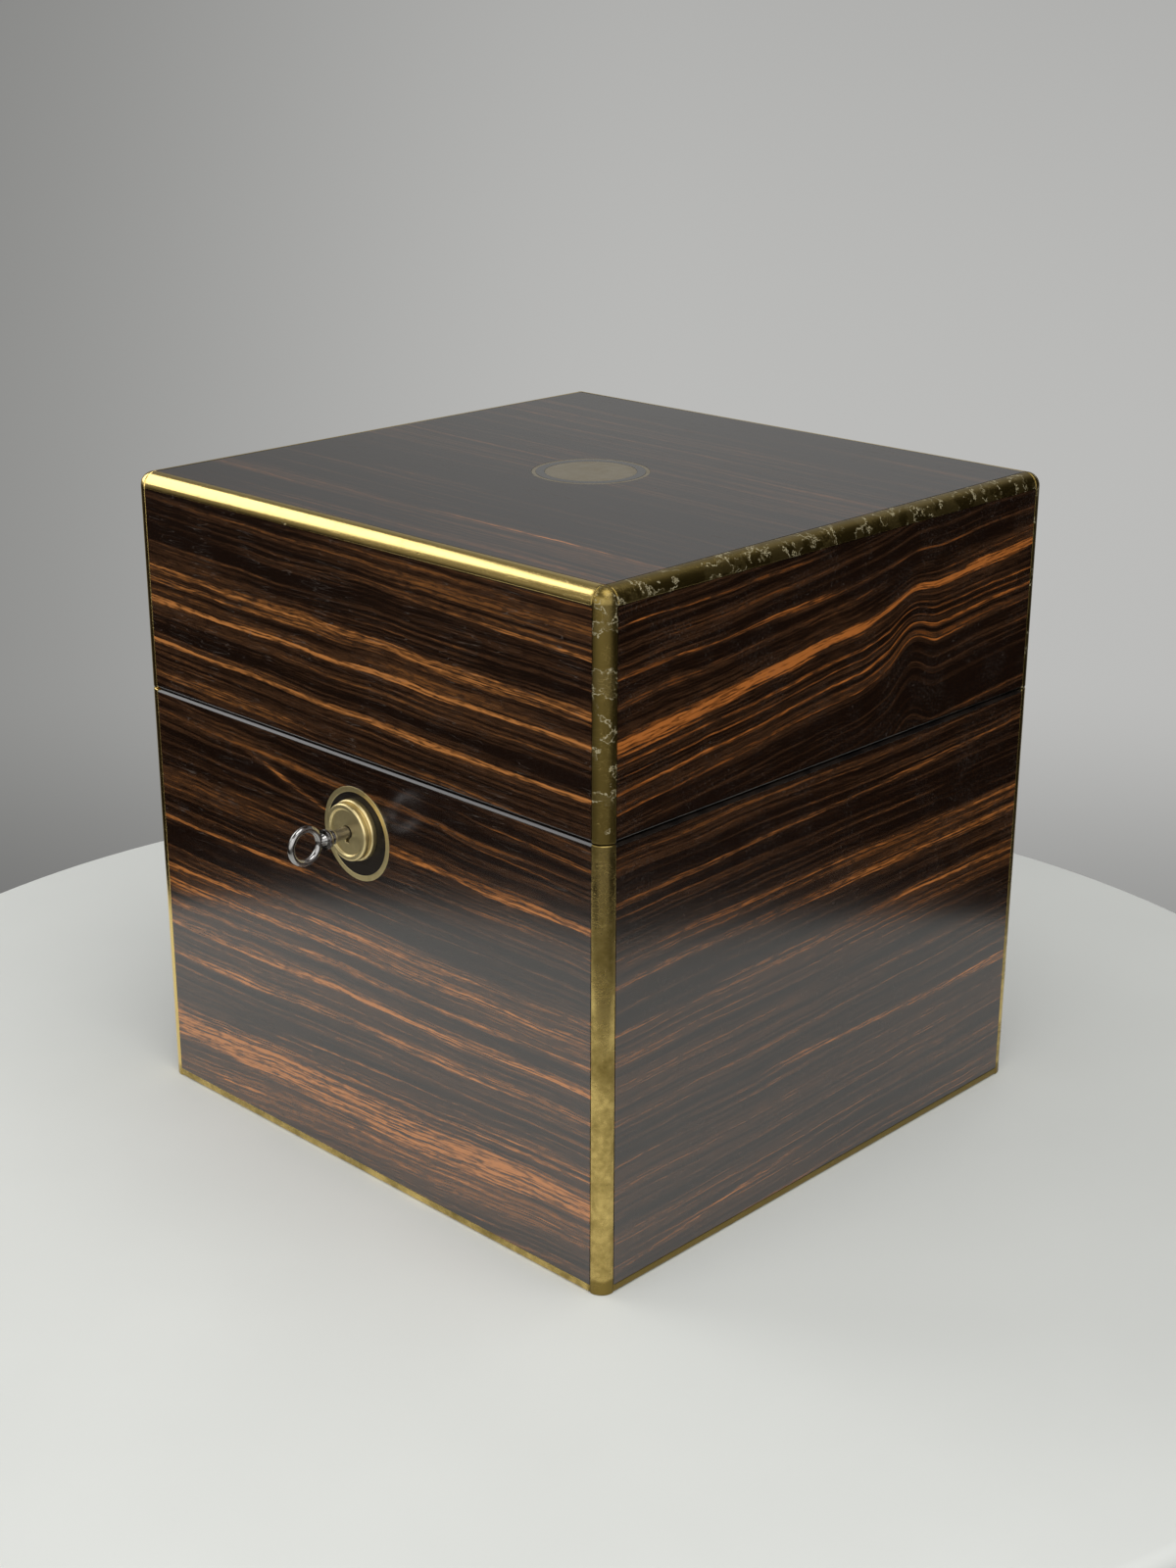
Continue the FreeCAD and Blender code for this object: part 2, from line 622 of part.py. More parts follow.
def stopper():
    """A peg, collar and waist with an eight-sided cut head, seated on the lip at Z = 0."""
    waist_low, waist_high = "collar_height", "2 * collar_height"
    profile = [("0", "-peg_length"), ("peg_radius", "-peg_length"), ("peg_radius", "0"),
               ("stopper_collar", "0"), ("stopper_collar", waist_low), ("stopper_waist", waist_high),
               ("0", waist_high)]
    girdle_low, girdle_high = f"{waist_high} + head_rise", f"{waist_high} + head_rise + girdle_height"
    table = f"{girdle_high} + crown_rise"
    sections = [octagon("stopper_waist", waist_high), octagon("stopper_girdle", girdle_low),
                octagon("stopper_girdle", girdle_high), octagon("stopper_table", table)]
    head = doc.addObject("Part::Loft", "stopper_head")
    head.Sections = sections
    head.Solid = True
    head.Ruled = True
    return fused(turned("stopper_peg", profile), head)


def decanters():
    """A stoppered decanter in the middle of each cell."""
    for where, (turn, right, back) in CORNERS.items():
        x, y = f"{right} * cell_x", f"{back} * cell_y"
        node(place(decanter(), x, y, "floor"), "decanter_" + where)
        node(place(stopper(), x, y, "floor + lip_top"), "stopper_" + where)


# Lock

def in_lock(item):
    """Stand a piece on the front face at the key axis, its Z axis pointing out of the box."""
    return place(item, y="front_face", z="lock_axis", turn=FORWARD)


def lock_ring():
    """Brass ring let into the veneer, with the dark ground inside it."""
    seat = dict(y="front_face", z="ring_axis", turn=BACKWARD)
    inner = "ring_outer - ring_width"
    stem = rod("boss_stem", "veneer", y="front_face", z="lock_axis", turn=BACKWARD)
    node(cut(rod("ring_outer", "veneer", **seat), rod(inner, "veneer", **seat)), "lock_ring")
    node(cut(rod(inner, "veneer", **seat), stem), "lock_ground")
    return rod("ring_outer", "veneer", **seat)


def keyhole(clearance, low, high):
    """A round hole with a notch below it for the key's lug, along the key axis."""
    length = f"({high}) - ({low})"
    half, reach = f"lug_width / 2 + {clearance}", f"lug_reach + {clearance}"
    hole = rod(f"key_shaft + {clearance}", length, y=f"front_face - ({low})", z="lock_axis", turn=FORWARD)
    notch = block(f"-({half})", half, f"front_face - ({high})", f"front_face - ({low})",
                  f"lock_axis - ({reach})", "lock_axis")
    return hole, notch


def lock_boss():
    """Stepped brass boss with a rimmed face, a keyhole, and a bore that carries the barrel."""
    groove = "boss_face_radius - boss_groove"
    dish = "boss_face_radius - boss_rim"
    profile = [("plug_bore", "cap_out"), ("boss_stem", "cap_out"), ("boss_stem", "0"),
               ("boss_base_radius", "0"), ("boss_base_radius", "boss_base_height - boss_ease"),
               ("boss_base_radius - boss_ease", "boss_base_height"),
               (groove, "boss_base_height"), (groove, "boss_face_low"),
               ("boss_face_radius", "boss_face_low"), ("boss_face_radius", "boss_height - boss_ease"),
               ("boss_face_radius - boss_ease", "boss_height"), (dish, "boss_height"),
               (f"{dish} - boss_dish_slope", "boss_height - boss_dish"), ("0", "boss_height - boss_dish"),
               ("0", "bore_end"), ("plug_bore", "bore_end")]
    boss = in_lock(turned("boss_turning", profile))
    hole, notch = keyhole("keyhole_clearance", "bore_end", "boss_height")
    node(cut(boss, hole, notch), "lock_boss")


def lock_plug():
    """Barrel with a socket for the key, a cam disc, and a crank pin that drives the bolt."""
    cam = "plug_radius + cam_overhang"
    profile = [("0", "cam_in"), (cam, "cam_in"), (cam, "cam_out"), ("plug_radius", "cam_out"),
               ("plug_radius", "plug_front"), ("0", "plug_front")]
    barrel = in_lock(turned("plug_turning", profile))
    pin_length = "cam_in - bolt_out + bolt_thickness + plug_end_play"
    pin = rod("crank_pin", pin_length, "crank_x", "front_face - cam_in", "lock_axis + crank_rise", BACKWARD)
    socket_end = "-key_reach - key_tip_gap"
    hole = rod("key_shaft + socket_clearance", f"plug_front - ({socket_end})",
               y=f"front_face - ({socket_end})", z="lock_axis", turn=FORWARD)
    slot_low = "lug_front - lug_length - socket_clearance"
    slot = keyhole("socket_clearance", slot_low, "plug_front")[1]
    node(cut(fused(barrel, pin), hole, slot), "lock_plug")


def key():
    """Shaft with a lug, two turned collars, and a ring bow that stands upright."""
    second = "shoulder_out + collar_width + collar_step"
    bow_low = "bow_out - bow_radius"
    neck = "key_shaft - socket_clearance"
    profile = [("0", "-key_reach"), ("key_shaft", "-key_reach"), ("key_shaft", "shoulder_out"),
               ("small_collar", "shoulder_out"), ("small_collar", "shoulder_out + collar_width"),
               (neck, "shoulder_out + collar_width"), (neck, second), ("large_collar", second),
               ("large_collar", f"{second} + collar_width"), (neck, f"{second} + collar_width"),
               ("bow_wire", bow_low), ("0", bow_low)]
    shaft = in_lock(turned("key_turning", profile))
    bow = doc.addObject("Part::Torus", "key_bow")
    bind(bow, Radius1="bow_radius", Radius2="bow_wire")
    place(bow, y="front_face - bow_out", z="lock_axis", turn=RIGHTWARD)
    lug = block("-lug_width / 2", "lug_width / 2", "front_face - lug_front",
                "front_face - lug_front + lug_length", "lock_axis - lug_reach", "lock_axis")
    node(fused(shaft, bow, lug), "key")


def lock_bolt():
    """Sliding bolt: a slotted bar with a fork below it and two hooked fingers above it."""
    deep = ["bolt_front", "bolt_back"]
    pieces = []
    for staple_side in ("-staple_x", "staple_x"):
        face = f"{staple_side} - staple / 2"
        post_right = f"{face} - bolt_throw - post_clearance"
        post_left = f"{post_right} - bolt_post"
        tip = f"{face} - finger_short"
        pieces.append(block(post_left, post_right, *deep, "bar_low", "finger_high"))
        pieces.append(block(post_left, tip, *deep, "finger_low", "finger_high"))
    slot_half = "stump + stump_clearance"
    bar_right = f"stump_x + {slot_half} + bolt_end"
    pieces.append(block("-post_reach", bar_right, *deep, "bar_low", "bar_high"))
    fork_outer = "(fork_half + fork_prong)"
    fork = block(f"crank_x - {fork_outer}", f"crank_x + {fork_outer}", *deep, "fork_low", "bar_low")
    slit = block("crank_x - fork_half", "crank_x + fork_half", *deep, "fork_low", "bar_low")
    slots = []
    middle = "(bar_low + bar_high) / 2"
    for stump_side in ("-stump_x", "stump_x"):
        left, right = f"{stump_side} - bolt_throw - ({slot_half})", f"{stump_side} + {slot_half}"
        slots.append(block(left, right, *deep, f"{middle} - ({slot_half})", f"{middle} + {slot_half}"))
    node(cut(fused(*pieces, fork), slit, *slots), "lock_bolt")


def lock_case():
    """Tray that holds the bolt on two stumps, with its cap, and the selvedge on the rim."""
    outer = block("-lock_half", "lock_half", "cap_back", "lock_back", "case_low", "selvedge_low")
    room = block("lock_wall - lock_half", "lock_half - lock_wall", "cap_back", "lock_back - lock_wall",
                 "case_low + lock_wall", "selvedge_low")
    stumps = [rod("stump", "lock_room", x, "cap_back", "(bar_low + bar_high) / 2", BACKWARD)
              for x in ("-stump_x", "stump_x")]
    node(fused(cut(outer, room), *stumps), "lock_case")
    cap = block("-lock_half", "lock_half", "cap_front", "cap_back", "case_low", "selvedge_low")
    bore = rod("plug_bore", "lock_cap", y="cap_front", z="lock_axis", turn=BACKWARD)
    node(cut(cap, bore), "lock_cap")
    mortise = block("-lock_half", "lock_half", "cap_front", "lock_back", "case_low", "selvedge_low")
    stem = rod("boss_stem", "wall + cap_out", y="front_face", z="lock_axis", turn=BACKWARD)
    return fused(mortise, stem)


def rim_plate(low, high):
    """The footprint of the selvedge, or of the link plate above it."""
    return block("-selvedge_half", "selvedge_half", "cap_front", "lock_back", low, high)


def selvedge_and_link(lock_screws, link_screws):
    """Selvedge with two slots, and the link plate whose two staples pass through them."""
    slots = []
    staples = []
    eyes = []
    for x in ("-staple_x", "staple_x"):
        left, right = f"{x} - staple / 2", f"{x} + staple / 2"
        slots.append(block(f"{left} - slot_clearance", f"{right} + slot_clearance",
                           "staple_front - slot_clearance", "staple_back + slot_clearance",
                           "selvedge_low", "rim"))
        staples.append(block(left, right, "staple_front", "staple_back", "staple_low", "lid_rim"))
        eyes.append(block(left, right, "eye_front", "eye_back", "eye_low", "eye_high"))
    node(cut(rim_plate("selvedge_low", "rim"), *slots, lock_screws), "lock_selvedge")
    plate = fused(rim_plate("lid_rim", "lid_rim + selvedge"), *staples)
    node(cut(plate, *eyes, link_screws), "link_plate")


# Screws

def screws(places, head_at, upward):
    """Countersunk screws at (x, y) places, their heads flush at one height."""
    sunk = "screw_head - screw_shank"
    shank = f"screw_length - ({sunk})"
    items = []
    for x, y in places:
        if upward:
            head = cone("screw_head", "screw_shank", sunk, x, y, head_at)
            stem = rod("screw_shank", shank, x, y, f"{head_at} + {sunk}")
        else:
            head = cone("screw_shank", "screw_head", sunk, x, y, f"{head_at} - ({sunk})")
            stem = rod("screw_shank", shank, x, y, f"{head_at} - screw_length")
        items.append(fused(head, stem))
    return group(*items)


def all_screws():
    """The screws of the lock, the link plate and the hinges."""
    ear = "(lock_half + selvedge_ear / 2)"
    ears = [("-" + ear, "selvedge_middle"), (ear, "selvedge_middle")]
    leaf = [(f"{hinge} + {step} * hinge_screw_step", "leaf_middle")
            for hinge in ("-hinge_x", "hinge_x") for step in ("-1", "0", "1")]
    return {"lock": node(screws(ears, "rim", False), "lock_screws"),
            "link": node(screws(ears, "lid_rim", True), "link_plate_screws"),
            "base_hinge": node(screws(leaf, "rim", False), "hinge_base_screws"),
            "lid_hinge": node(screws(leaf, "lid_rim", True), "hinge_lid_screws")}


# Hinges

def leaf_plates(low, high):
    """The footprints of the two leaves let into a rim."""
    half = "hinge_length / 2"
    return [block(f"{x} - {half}", f"{x} + {half}", "leaf_inside", "half_depth", low, high)
            for x in ("-hinge_x", "hinge_x")]


def stop_bar(x0, x1, inner, outer, tilt, across):
    """A bar along the hinge, tilted about the pin, beside the plane where the stops meet."""
    bar = doc.addObject("Part::Box", "stop_bar")
    bind(bar, Length=f"({x1}) - ({x0})", Width=f"({outer}) - ({inner})", Height="stop_thickness")
    bar.Placement = FreeCAD.Placement(Vector(), Rotation(Vector(1, 0, 0), number(tilt)))
    bar.setExpression("Placement.Rotation.Angle", formula(tilt))
    cosine, sine = f"cos(({tilt}) * 1 deg)", f"sin(({tilt}) * 1 deg)"
    outward = f"hinge_y + ({inner}) * {cosine} - ({across}) * {sine}"
    upward = f"seam_height + ({inner}) * {sine} + ({across}) * {cosine}"
    for axis, text in zip("xyz", (x0, outward, upward)):
        bar.setExpression("Placement.Base." + axis, formula(text))
    return bar


def leaf(x, plate, knuckles, low, high, bore, tilt, across):
    """One hinge leaf: plate, its share of the five knuckles, and a stop bar behind them."""
    left = f"{x} - hinge_length / 2"
    pieces = [plate]
    for index in knuckles:
        start = f"{left} + {index} * (knuckle + knuckle_gap)"
        pieces.append(rod("barrel", "knuckle", start, "hinge_y", "seam_height", RIGHTWARD))
        pieces.append(block(start, f"{start} + knuckle", "half_depth", "hinge_y", low, high))
        pieces.append(stop_bar(start, f"{start} + knuckle", "hinge_pin", "stop_inner", tilt, across))
    right = f"{left} + hinge_length"
    pieces.append(stop_bar(left, right, "stop_inner", "stop_inner + stop_width", tilt, across))
    hole = rod(bore, "hinge_length", left, "hinge_y", "seam_height", RIGHTWARD)
    return cut(fused(*pieces), hole)


def hinges(base_plates, lid_plates, base_screws, lid_screws):
    """A pair of stop hinges: leaves in both rims, five knuckles and a pin each."""
    base_leaves = []
    lid_leaves = []
    pins = []
    for x, base_plate, lid_plate in zip(("-hinge_x", "hinge_x"), base_plates, lid_plates):
        base_leaf = leaf(x, base_plate, (0, 2, 4), "rim - hinge_leaf", "rim", "hinge_pin",
                         "-lid_opening / 2", "-stop_gap / 2 - stop_thickness")
        lid_leaf = leaf(x, lid_plate, (1, 3), "lid_rim", "lid_rim + hinge_leaf", "hinge_pin + pin_clearance",
                        "lid_opening / 2", "stop_gap / 2")
        base_leaves.append(cut(base_leaf, base_screws))
        lid_leaves.append(cut(lid_leaf, lid_screws))
        start = f"{x} - hinge_length / 2"
        pins.append(rod("hinge_pin", "hinge_length", start, "hinge_y", "seam_height", RIGHTWARD))
    node(group(*base_leaves), "hinge_base_leaves")
    node(group(*lid_leaves), "hinge_lid_leaves")
    node(group(*pins), "hinge_pins")


# The whole box

def build():
    """Make every sub-part."""
    fill_sheet()
    fixings = all_screws()
    selvedge_and_link(fixings["lock"], fixings["link"])
    base_plates = leaf_plates("rim - hinge_leaf", "rim")
    lid_plates = leaf_plates("lid_rim", "lid_rim + hinge_leaf")
    hinges(base_plates, lid_plates, fixings["base_hinge"], fixings["lid_hinge"])
    mortise = lock_case()
    lock_boss()
    lock_plug()
    lock_bolt()
    key()
    base_holes = {"lock": fixings["lock"], "hinge": fixings["base_hinge"]}
    base_carcass(mortise, lock_ring(), rim_plate("selvedge_low", "rim"), group(*base_plates), base_holes)
    lid_holes = {"link": fixings["link"], "hinge": fixings["lid_hinge"]}
    lid_carcass(rim_plate("lid_rim", "lid_rim + selvedge"), group(*lid_plates), lid_holes)
    partitions()
    decanters()
    doc.recompute()


def check():
    """Stop if anything failed to build."""
    for item in doc.Objects:
        if "Invalid" in item.State or "Error" in item.State:
            raise RuntimeError(f"{item.Label} failed: {item.State}")
    for item in nodes:
        if item.Shape.isNull() or not item.Shape.isValid() or not item.Shape.Solids:
            raise RuntimeError(f"{item.Label} has no sound shape")


def write():
    """Write each sub-part to its own file."""
    os.makedirs("parts", exist_ok=True)
    for item in nodes:
        item.Shape.exportStep(f"parts/{item.Label}.step")
        print(item.Label, len(item.Shape.Solids), round(item.Shape.Volume, 1))


build()
check()
write()
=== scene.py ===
"""A decanter box in striped veneer, bound in brass, with its lock, key, velvet and glass."""
import json
import math

import bmesh
import bpy
from bpy.props import FloatProperty, FloatVectorProperty, IntProperty, PointerProperty
from mathutils import Euler, Matrix, Vector, noise


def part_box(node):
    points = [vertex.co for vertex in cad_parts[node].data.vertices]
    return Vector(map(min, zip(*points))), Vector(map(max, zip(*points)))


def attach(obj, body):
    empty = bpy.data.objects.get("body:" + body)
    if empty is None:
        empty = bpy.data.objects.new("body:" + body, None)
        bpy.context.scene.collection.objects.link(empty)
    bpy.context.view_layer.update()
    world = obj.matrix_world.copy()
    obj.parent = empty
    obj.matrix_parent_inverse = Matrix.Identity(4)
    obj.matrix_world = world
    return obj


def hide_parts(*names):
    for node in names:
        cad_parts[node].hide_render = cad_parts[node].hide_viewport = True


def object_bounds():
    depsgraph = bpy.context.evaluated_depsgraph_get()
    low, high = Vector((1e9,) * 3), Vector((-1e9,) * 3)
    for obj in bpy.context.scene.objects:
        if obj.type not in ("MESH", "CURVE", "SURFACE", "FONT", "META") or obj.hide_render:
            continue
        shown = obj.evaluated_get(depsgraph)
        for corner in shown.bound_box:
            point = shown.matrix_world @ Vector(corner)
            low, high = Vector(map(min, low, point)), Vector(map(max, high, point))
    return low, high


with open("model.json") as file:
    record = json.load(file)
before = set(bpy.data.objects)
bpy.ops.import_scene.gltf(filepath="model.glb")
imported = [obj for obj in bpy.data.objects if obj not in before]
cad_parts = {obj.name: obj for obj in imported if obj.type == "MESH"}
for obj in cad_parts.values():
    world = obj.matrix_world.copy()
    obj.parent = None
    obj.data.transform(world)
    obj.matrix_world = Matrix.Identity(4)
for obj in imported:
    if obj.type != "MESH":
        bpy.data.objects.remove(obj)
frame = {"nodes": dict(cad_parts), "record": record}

bl_info = {
    "name": "Decanter box",
    "version": (1, 0, 0),
    "blender": (4, 5, 0),
    "location": "View3D > Sidebar > Decanter box",
    "description": "Dresses a brass-bound decanter box in veneer, brass, steel, velvet and glass",
    "category": "Object",
}

MM = 0.001
CAD_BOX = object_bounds()
BODY_OF = {node: body for body, nodes in frame["record"]["behaviour"]["bodies"].items() for node in nodes}
CORNERS = ("front_left", "front_right", "back_left", "back_right")
# Points closer than this are one point, and faces this near to level are one face.
MERGE = 1e-6
LEVEL = math.radians(0.4)
SHARP = math.radians(32)


# Sizes and colours that a user would change

def colour(label, note, *rgb):
    """A colour setting, in linear light."""
    return FloatVectorProperty(name=label, description=note, subtype="COLOR", size=3, min=0, max=1,
                               default=rgb)


def length(label, note, metres):
    """A length setting, in metres."""
    return FloatProperty(name=label, description=note, subtype="DISTANCE", unit="LENGTH", min=0,
                         default=metres)


def angle(label, note, degrees):
    """An angle setting, stated in degrees."""
    return FloatProperty(name=label, description=note, subtype="ANGLE", default=math.radians(degrees))


def share(label, note, value):
    """A setting between nothing and all."""
    return FloatProperty(name=label, description=note, subtype="FACTOR", min=0, max=1, default=value)


class VeneerLook(bpy.types.PropertyGroup):
    ground: colour("Ground", "Near-black wood between the lines", 0.0075, 0.0027, 0.0011)
    brown: colour("Brown", "Brown lines of the ground", 0.048, 0.0205, 0.0085)
    streak: colour("Streak", "Tan edges of the streaks", 0.165, 0.063, 0.0165)
    heart: colour("Heart", "Orange middle of the streaks", 0.475, 0.184, 0.048)
    # Painted highlight: the colour that scratches in the polish are lightened with.
    scuff: colour("Scratch glint", "Light caught by scratches in the polish", 0.12, 0.10, 0.085)
    sway: length("Sway", "How far the grain wanders across", 0.006)
    polish: share("Polish", "Roughness of the polish", 0.17)


class BrassLook(bpy.types.PropertyGroup):
    bright: colour("Bright", "Polished brass of the edges", 0.88, 0.655, 0.235)
    # The dull colour also serves as painted shade on the right-hand edge strips.
    dull: colour("Dull", "Edge brass gone olive", 0.235, 0.168, 0.046)
    lock: colour("Lock", "Paler brass of the lock and the hinges", 0.80, 0.66, 0.34)
    lock_dull: colour("Lock, dull", "Lock brass gone dull", 0.42, 0.34, 0.155)
    plate: colour("Plate", "Grey bronze of the lid's plate", 0.55, 0.49, 0.375)
    plate_dull: colour("Plate, dull", "Plate gone dull", 0.39, 0.33, 0.225)
    dirt: colour("Dirt", "Grime in pits and corners", 0.035, 0.028, 0.014)
    flake: colour("Flakes", "Lifted edges of old lacquer", 0.43, 0.38, 0.235)
    ease: length("Eased edge", "Rounding of the sharp edges", 0.00022)
    strip_ease: length("Strip edge", "Rounding along the edges of the strips", 0.0004)


class SteelLook(bpy.types.PropertyGroup):
    bright: colour("Bright", "Polished steel", 0.46, 0.45, 0.44)
    dull: colour("Dull", "Steel gone grey", 0.20, 0.19, 0.18)
    ease: length("Eased edge", "Rounding of the sharp edges", 0.00015)


class WoodLook(bpy.types.PropertyGroup):
    carcass: colour("Carcass", "Plain red-brown boards", 0.150, 0.060, 0.025)
    carcass_line: colour("Carcass lines", "Darker lines of the boards", 0.070, 0.026, 0.011)
    partition: colour("Partitions", "Stained partition boards", 0.095, 0.034, 0.016)
    partition_line: colour("Partition lines", "Darker lines of the partitions", 0.040, 0.013, 0.007)
    ebony: colour("Ebonised wood", "Black-stained rims and grounds", 0.0055, 0.0048, 0.0044)
    ebony_line: colour("Ebonised lines", "Faint lines of the black wood", 0.017, 0.013, 0.010)
    ease: length("Eased edge", "Rounding of the partition boards", 0.0006)
    rim_ease: length("Rim edge", "Rounding of the black rims", 0.00025)


class VelvetLook(bpy.types.PropertyGroup):
    pile: colour("Pile", "Colour of the velvet", 0.130, 0.010, 0.018)
    crushed: colour("Crushed pile", "Where the pile lies flat", 0.070, 0.0048, 0.009)
    fuzz: colour("Fuzz", "Light caught by the tips of the pile", 0.70, 0.30, 0.32)
    unevenness: length("Unevenness", "How far the cloth dips over its card", 0.00028)
    fold: length("Turned edge", "Rounding where the cloth turns over its card", 0.00035)
    cuts: IntProperty(name="Cuts", description="Cuts along each side of a card", min=2, default=22)


class GlassLook(bpy.types.PropertyGroup):
    tint: colour("Tint", "Colour of thick glass", 0.955, 0.985, 0.972)
    ease: length("Eased edge", "Rounding of the cut edges", 0.0005)


class ScrewSizes(bpy.types.PropertyGroup):
    head: length("Head", "Radius of the head", 0.0020)
    shank: length("Shank", "Radius of the shank", 0.0010)
    reach: length("Reach", "Length under a flush head", 0.0100)
    slot: length("Slot", "Width of the slot", 0.00055)
    slot_depth: length("Slot depth", "Depth of the slot", 0.00050)
    sides: IntProperty(name="Sides", description="Sides of the round stock", min=8, default=28)
    seed: IntProperty(name="Seed", description="Picks how far each screw was driven round", default=7)


class StageSizes(bpy.types.PropertyGroup):
    floor: colour("Floor", "Plain pale floor", 0.715, 0.728, 0.695)
    floor_radius: length("Floor radius", "Radius of the round floor slab", 0.316)
    floor_forward: length("Floor forward", "How far the floor's middle lies in front of the box", 0.013)
    floor_depth: length("Floor thickness", "Thickness of the floor slab", 0.024)
    floor_edge: length("Floor edge", "Rounding of the floor slab's edge", 0.005)
    wall_left: colour("Backdrop, left", "Backdrop towards the left of the view", 0.25, 0.25, 0.243)
    wall_right: colour("Backdrop, right", "Backdrop towards the right of the view", 0.50, 0.50, 0.489)
    room: colour("Room", "The room behind the camera", 0.17, 0.165, 0.155)
    flag: colour("Flag", "Dark sides of the studio that the polish shows", 0.010, 0.008, 0.006)
    glow: colour("Glow", "The window side of the room, above the floor", 0.26, 0.25, 0.23)
    ambient: share("Ambient", "Light that comes from all round", 0.26)
    lens: FloatProperty(name="Lens", description="Focal length", subtype="DISTANCE_CAMERA", default=52.842)
    eye: FloatVectorProperty(name="Eye", description="Where the camera stands", subtype="XYZ",
                             unit="LENGTH", default=(0.542457, -0.562384, 0.400458))
    heading: angle("Heading", "Camera's heading from +X", 134.016)
    pitch: angle("Pitch", "How far the camera looks down", 20.047)
    roll: angle("Roll", "Camera's roll", 0.156)


class DecanterBox(bpy.types.PropertyGroup):
    veneer: PointerProperty(type=VeneerLook)
    brass: PointerProperty(type=BrassLook)
    steel: PointerProperty(type=SteelLook)
    wood: PointerProperty(type=WoodLook)
    velvet: PointerProperty(type=VelvetLook)
    glass: PointerProperty(type=GlassLook)
    screws: PointerProperty(type=ScrewSizes)
    stage: PointerProperty(type=StageSizes)


def settings():
    """The sizes and colours of this box."""
    return bpy.context.scene.decanter_box


# Node trees

class Web:
    """A node tree that is built up one node at a time."""

    def __init__(self, tree):
        self.tree = tree

    def node(self, kind, *feeds, named=None, **options):
        """Add a node, set its options, and feed its inputs in order or by name."""
        item = self.tree.nodes.new(kind)
        for key, value in options.items():
            setattr(item, key, value)
        pairs = list(enumerate(feeds)) + list((named or {}).items())
        for key, value in pairs:
            self.feed(item.inputs[key], value)
        return item

    def feed(self, socket, value):
        """Link a socket, or set it where the value is plain."""
        if isinstance(value, bpy.types.NodeSocket):
            self.tree.links.new(value, socket)
        else:
            socket.default_value = value

    def feed_all(self, sockets, **feeds):
        """Feed sockets by name, with underscores for spaces."""
        for key, value in feeds.items():
            self.feed(sockets[key.replace("_", " ")], value)

    def math(self, operation, *feeds):
        return self.node("ShaderNodeMath", *feeds, operation=operation).outputs[0]

    def folded(self, operation, values):
        """Join values one after another by one operation."""
        total = values[0]
        for value in values[1:]:
            total = self.math(operation, total, value)
        return total

    def plus(self, *values):
        return self.folded("ADD", values)

    def times(self, *values):
        return self.folded("MULTIPLY", values)

    def most(self, *values):
        return self.folded("MAXIMUM", values)

    def minus(self, value, less):
        return self.math("SUBTRACT", value, less)

    def span(self, value, low, high, start=0.0, end=1.0):
        """Ease a value from one range to another, held at both ends."""
        return self.node("ShaderNodeMapRange", value, low, high, start, end,
                         interpolation_type="SMOOTHSTEP").outputs[0]

    def mix(self, amount, first, second):
        item = self.node("ShaderNodeMix", data_type="RGBA")
        for index, value in ((0, amount), (6, first), (7, second)):
            self.feed(item.inputs[index], value)
        return item.outputs[2]

    def point(self, x, y, z):
        return self.node("ShaderNodeCombineXYZ", x, y, z).outputs[0]

    def leaf_spot(self, along, across, waves_along, waves_across, seed):
        """A place in a pattern with so many waves a metre along and across a leaf."""
        return self.point(self.times(along, waves_along), self.times(across, waves_across), seed)

    def stretch(self, vector, scale, turn=(0, 0, 0)):
        """Turn and scale a pattern's coordinates."""
        return self.node("ShaderNodeMapping", vector,
                         named={"Scale": scale, "Rotation": turn}).outputs[0]

    def cloud(self, vector, scale=1.0, detail=2.0, roughness=0.5):
        """Soft noise between 0 and 1."""
        return self.node("ShaderNodeTexNoise", named={"Vector": vector, "Scale": scale, "Detail": detail,
                                                      "Roughness": roughness}).outputs[0]

    def place(self):
        return self.node("ShaderNodeTexCoord").outputs["Object"]


def rgba(value):
    return (*value, 1.0)


def floats(*labels):
    """Sockets that carry plain values."""
    return dict.fromkeys(labels, "Float")


def colours(*labels):
    """Sockets that carry colours."""
    return dict.fromkeys(labels, "Color")


def effect(name, inputs, outputs, tree_kind="ShaderNodeTree"):
    """Start a node group: inputs and outputs are names and kinds of sockets."""
    group = bpy.data.node_groups.new(name, tree_kind)
    for direction, sockets in (("INPUT", inputs), ("OUTPUT", outputs)):
        for label, kind in sockets.items():
            group.interface.new_socket(label, in_out=direction, socket_type="NodeSocket" + kind)
    web = Web(group)
    return web, web.node("NodeGroupInput").outputs, web.node("NodeGroupOutput").inputs


def built_once(build):
    """Keep the node group that a function builds, for the materials that share it."""
    def fetch():
        return bpy.data.node_groups.get(build.__name__) or build()
    return fetch


# Streak heights are given at two places this far apart, as far left as right of a leaf's middle, and
# streaks begin and end over this length.
ENDS_APART = 0.2
FADE = 0.02


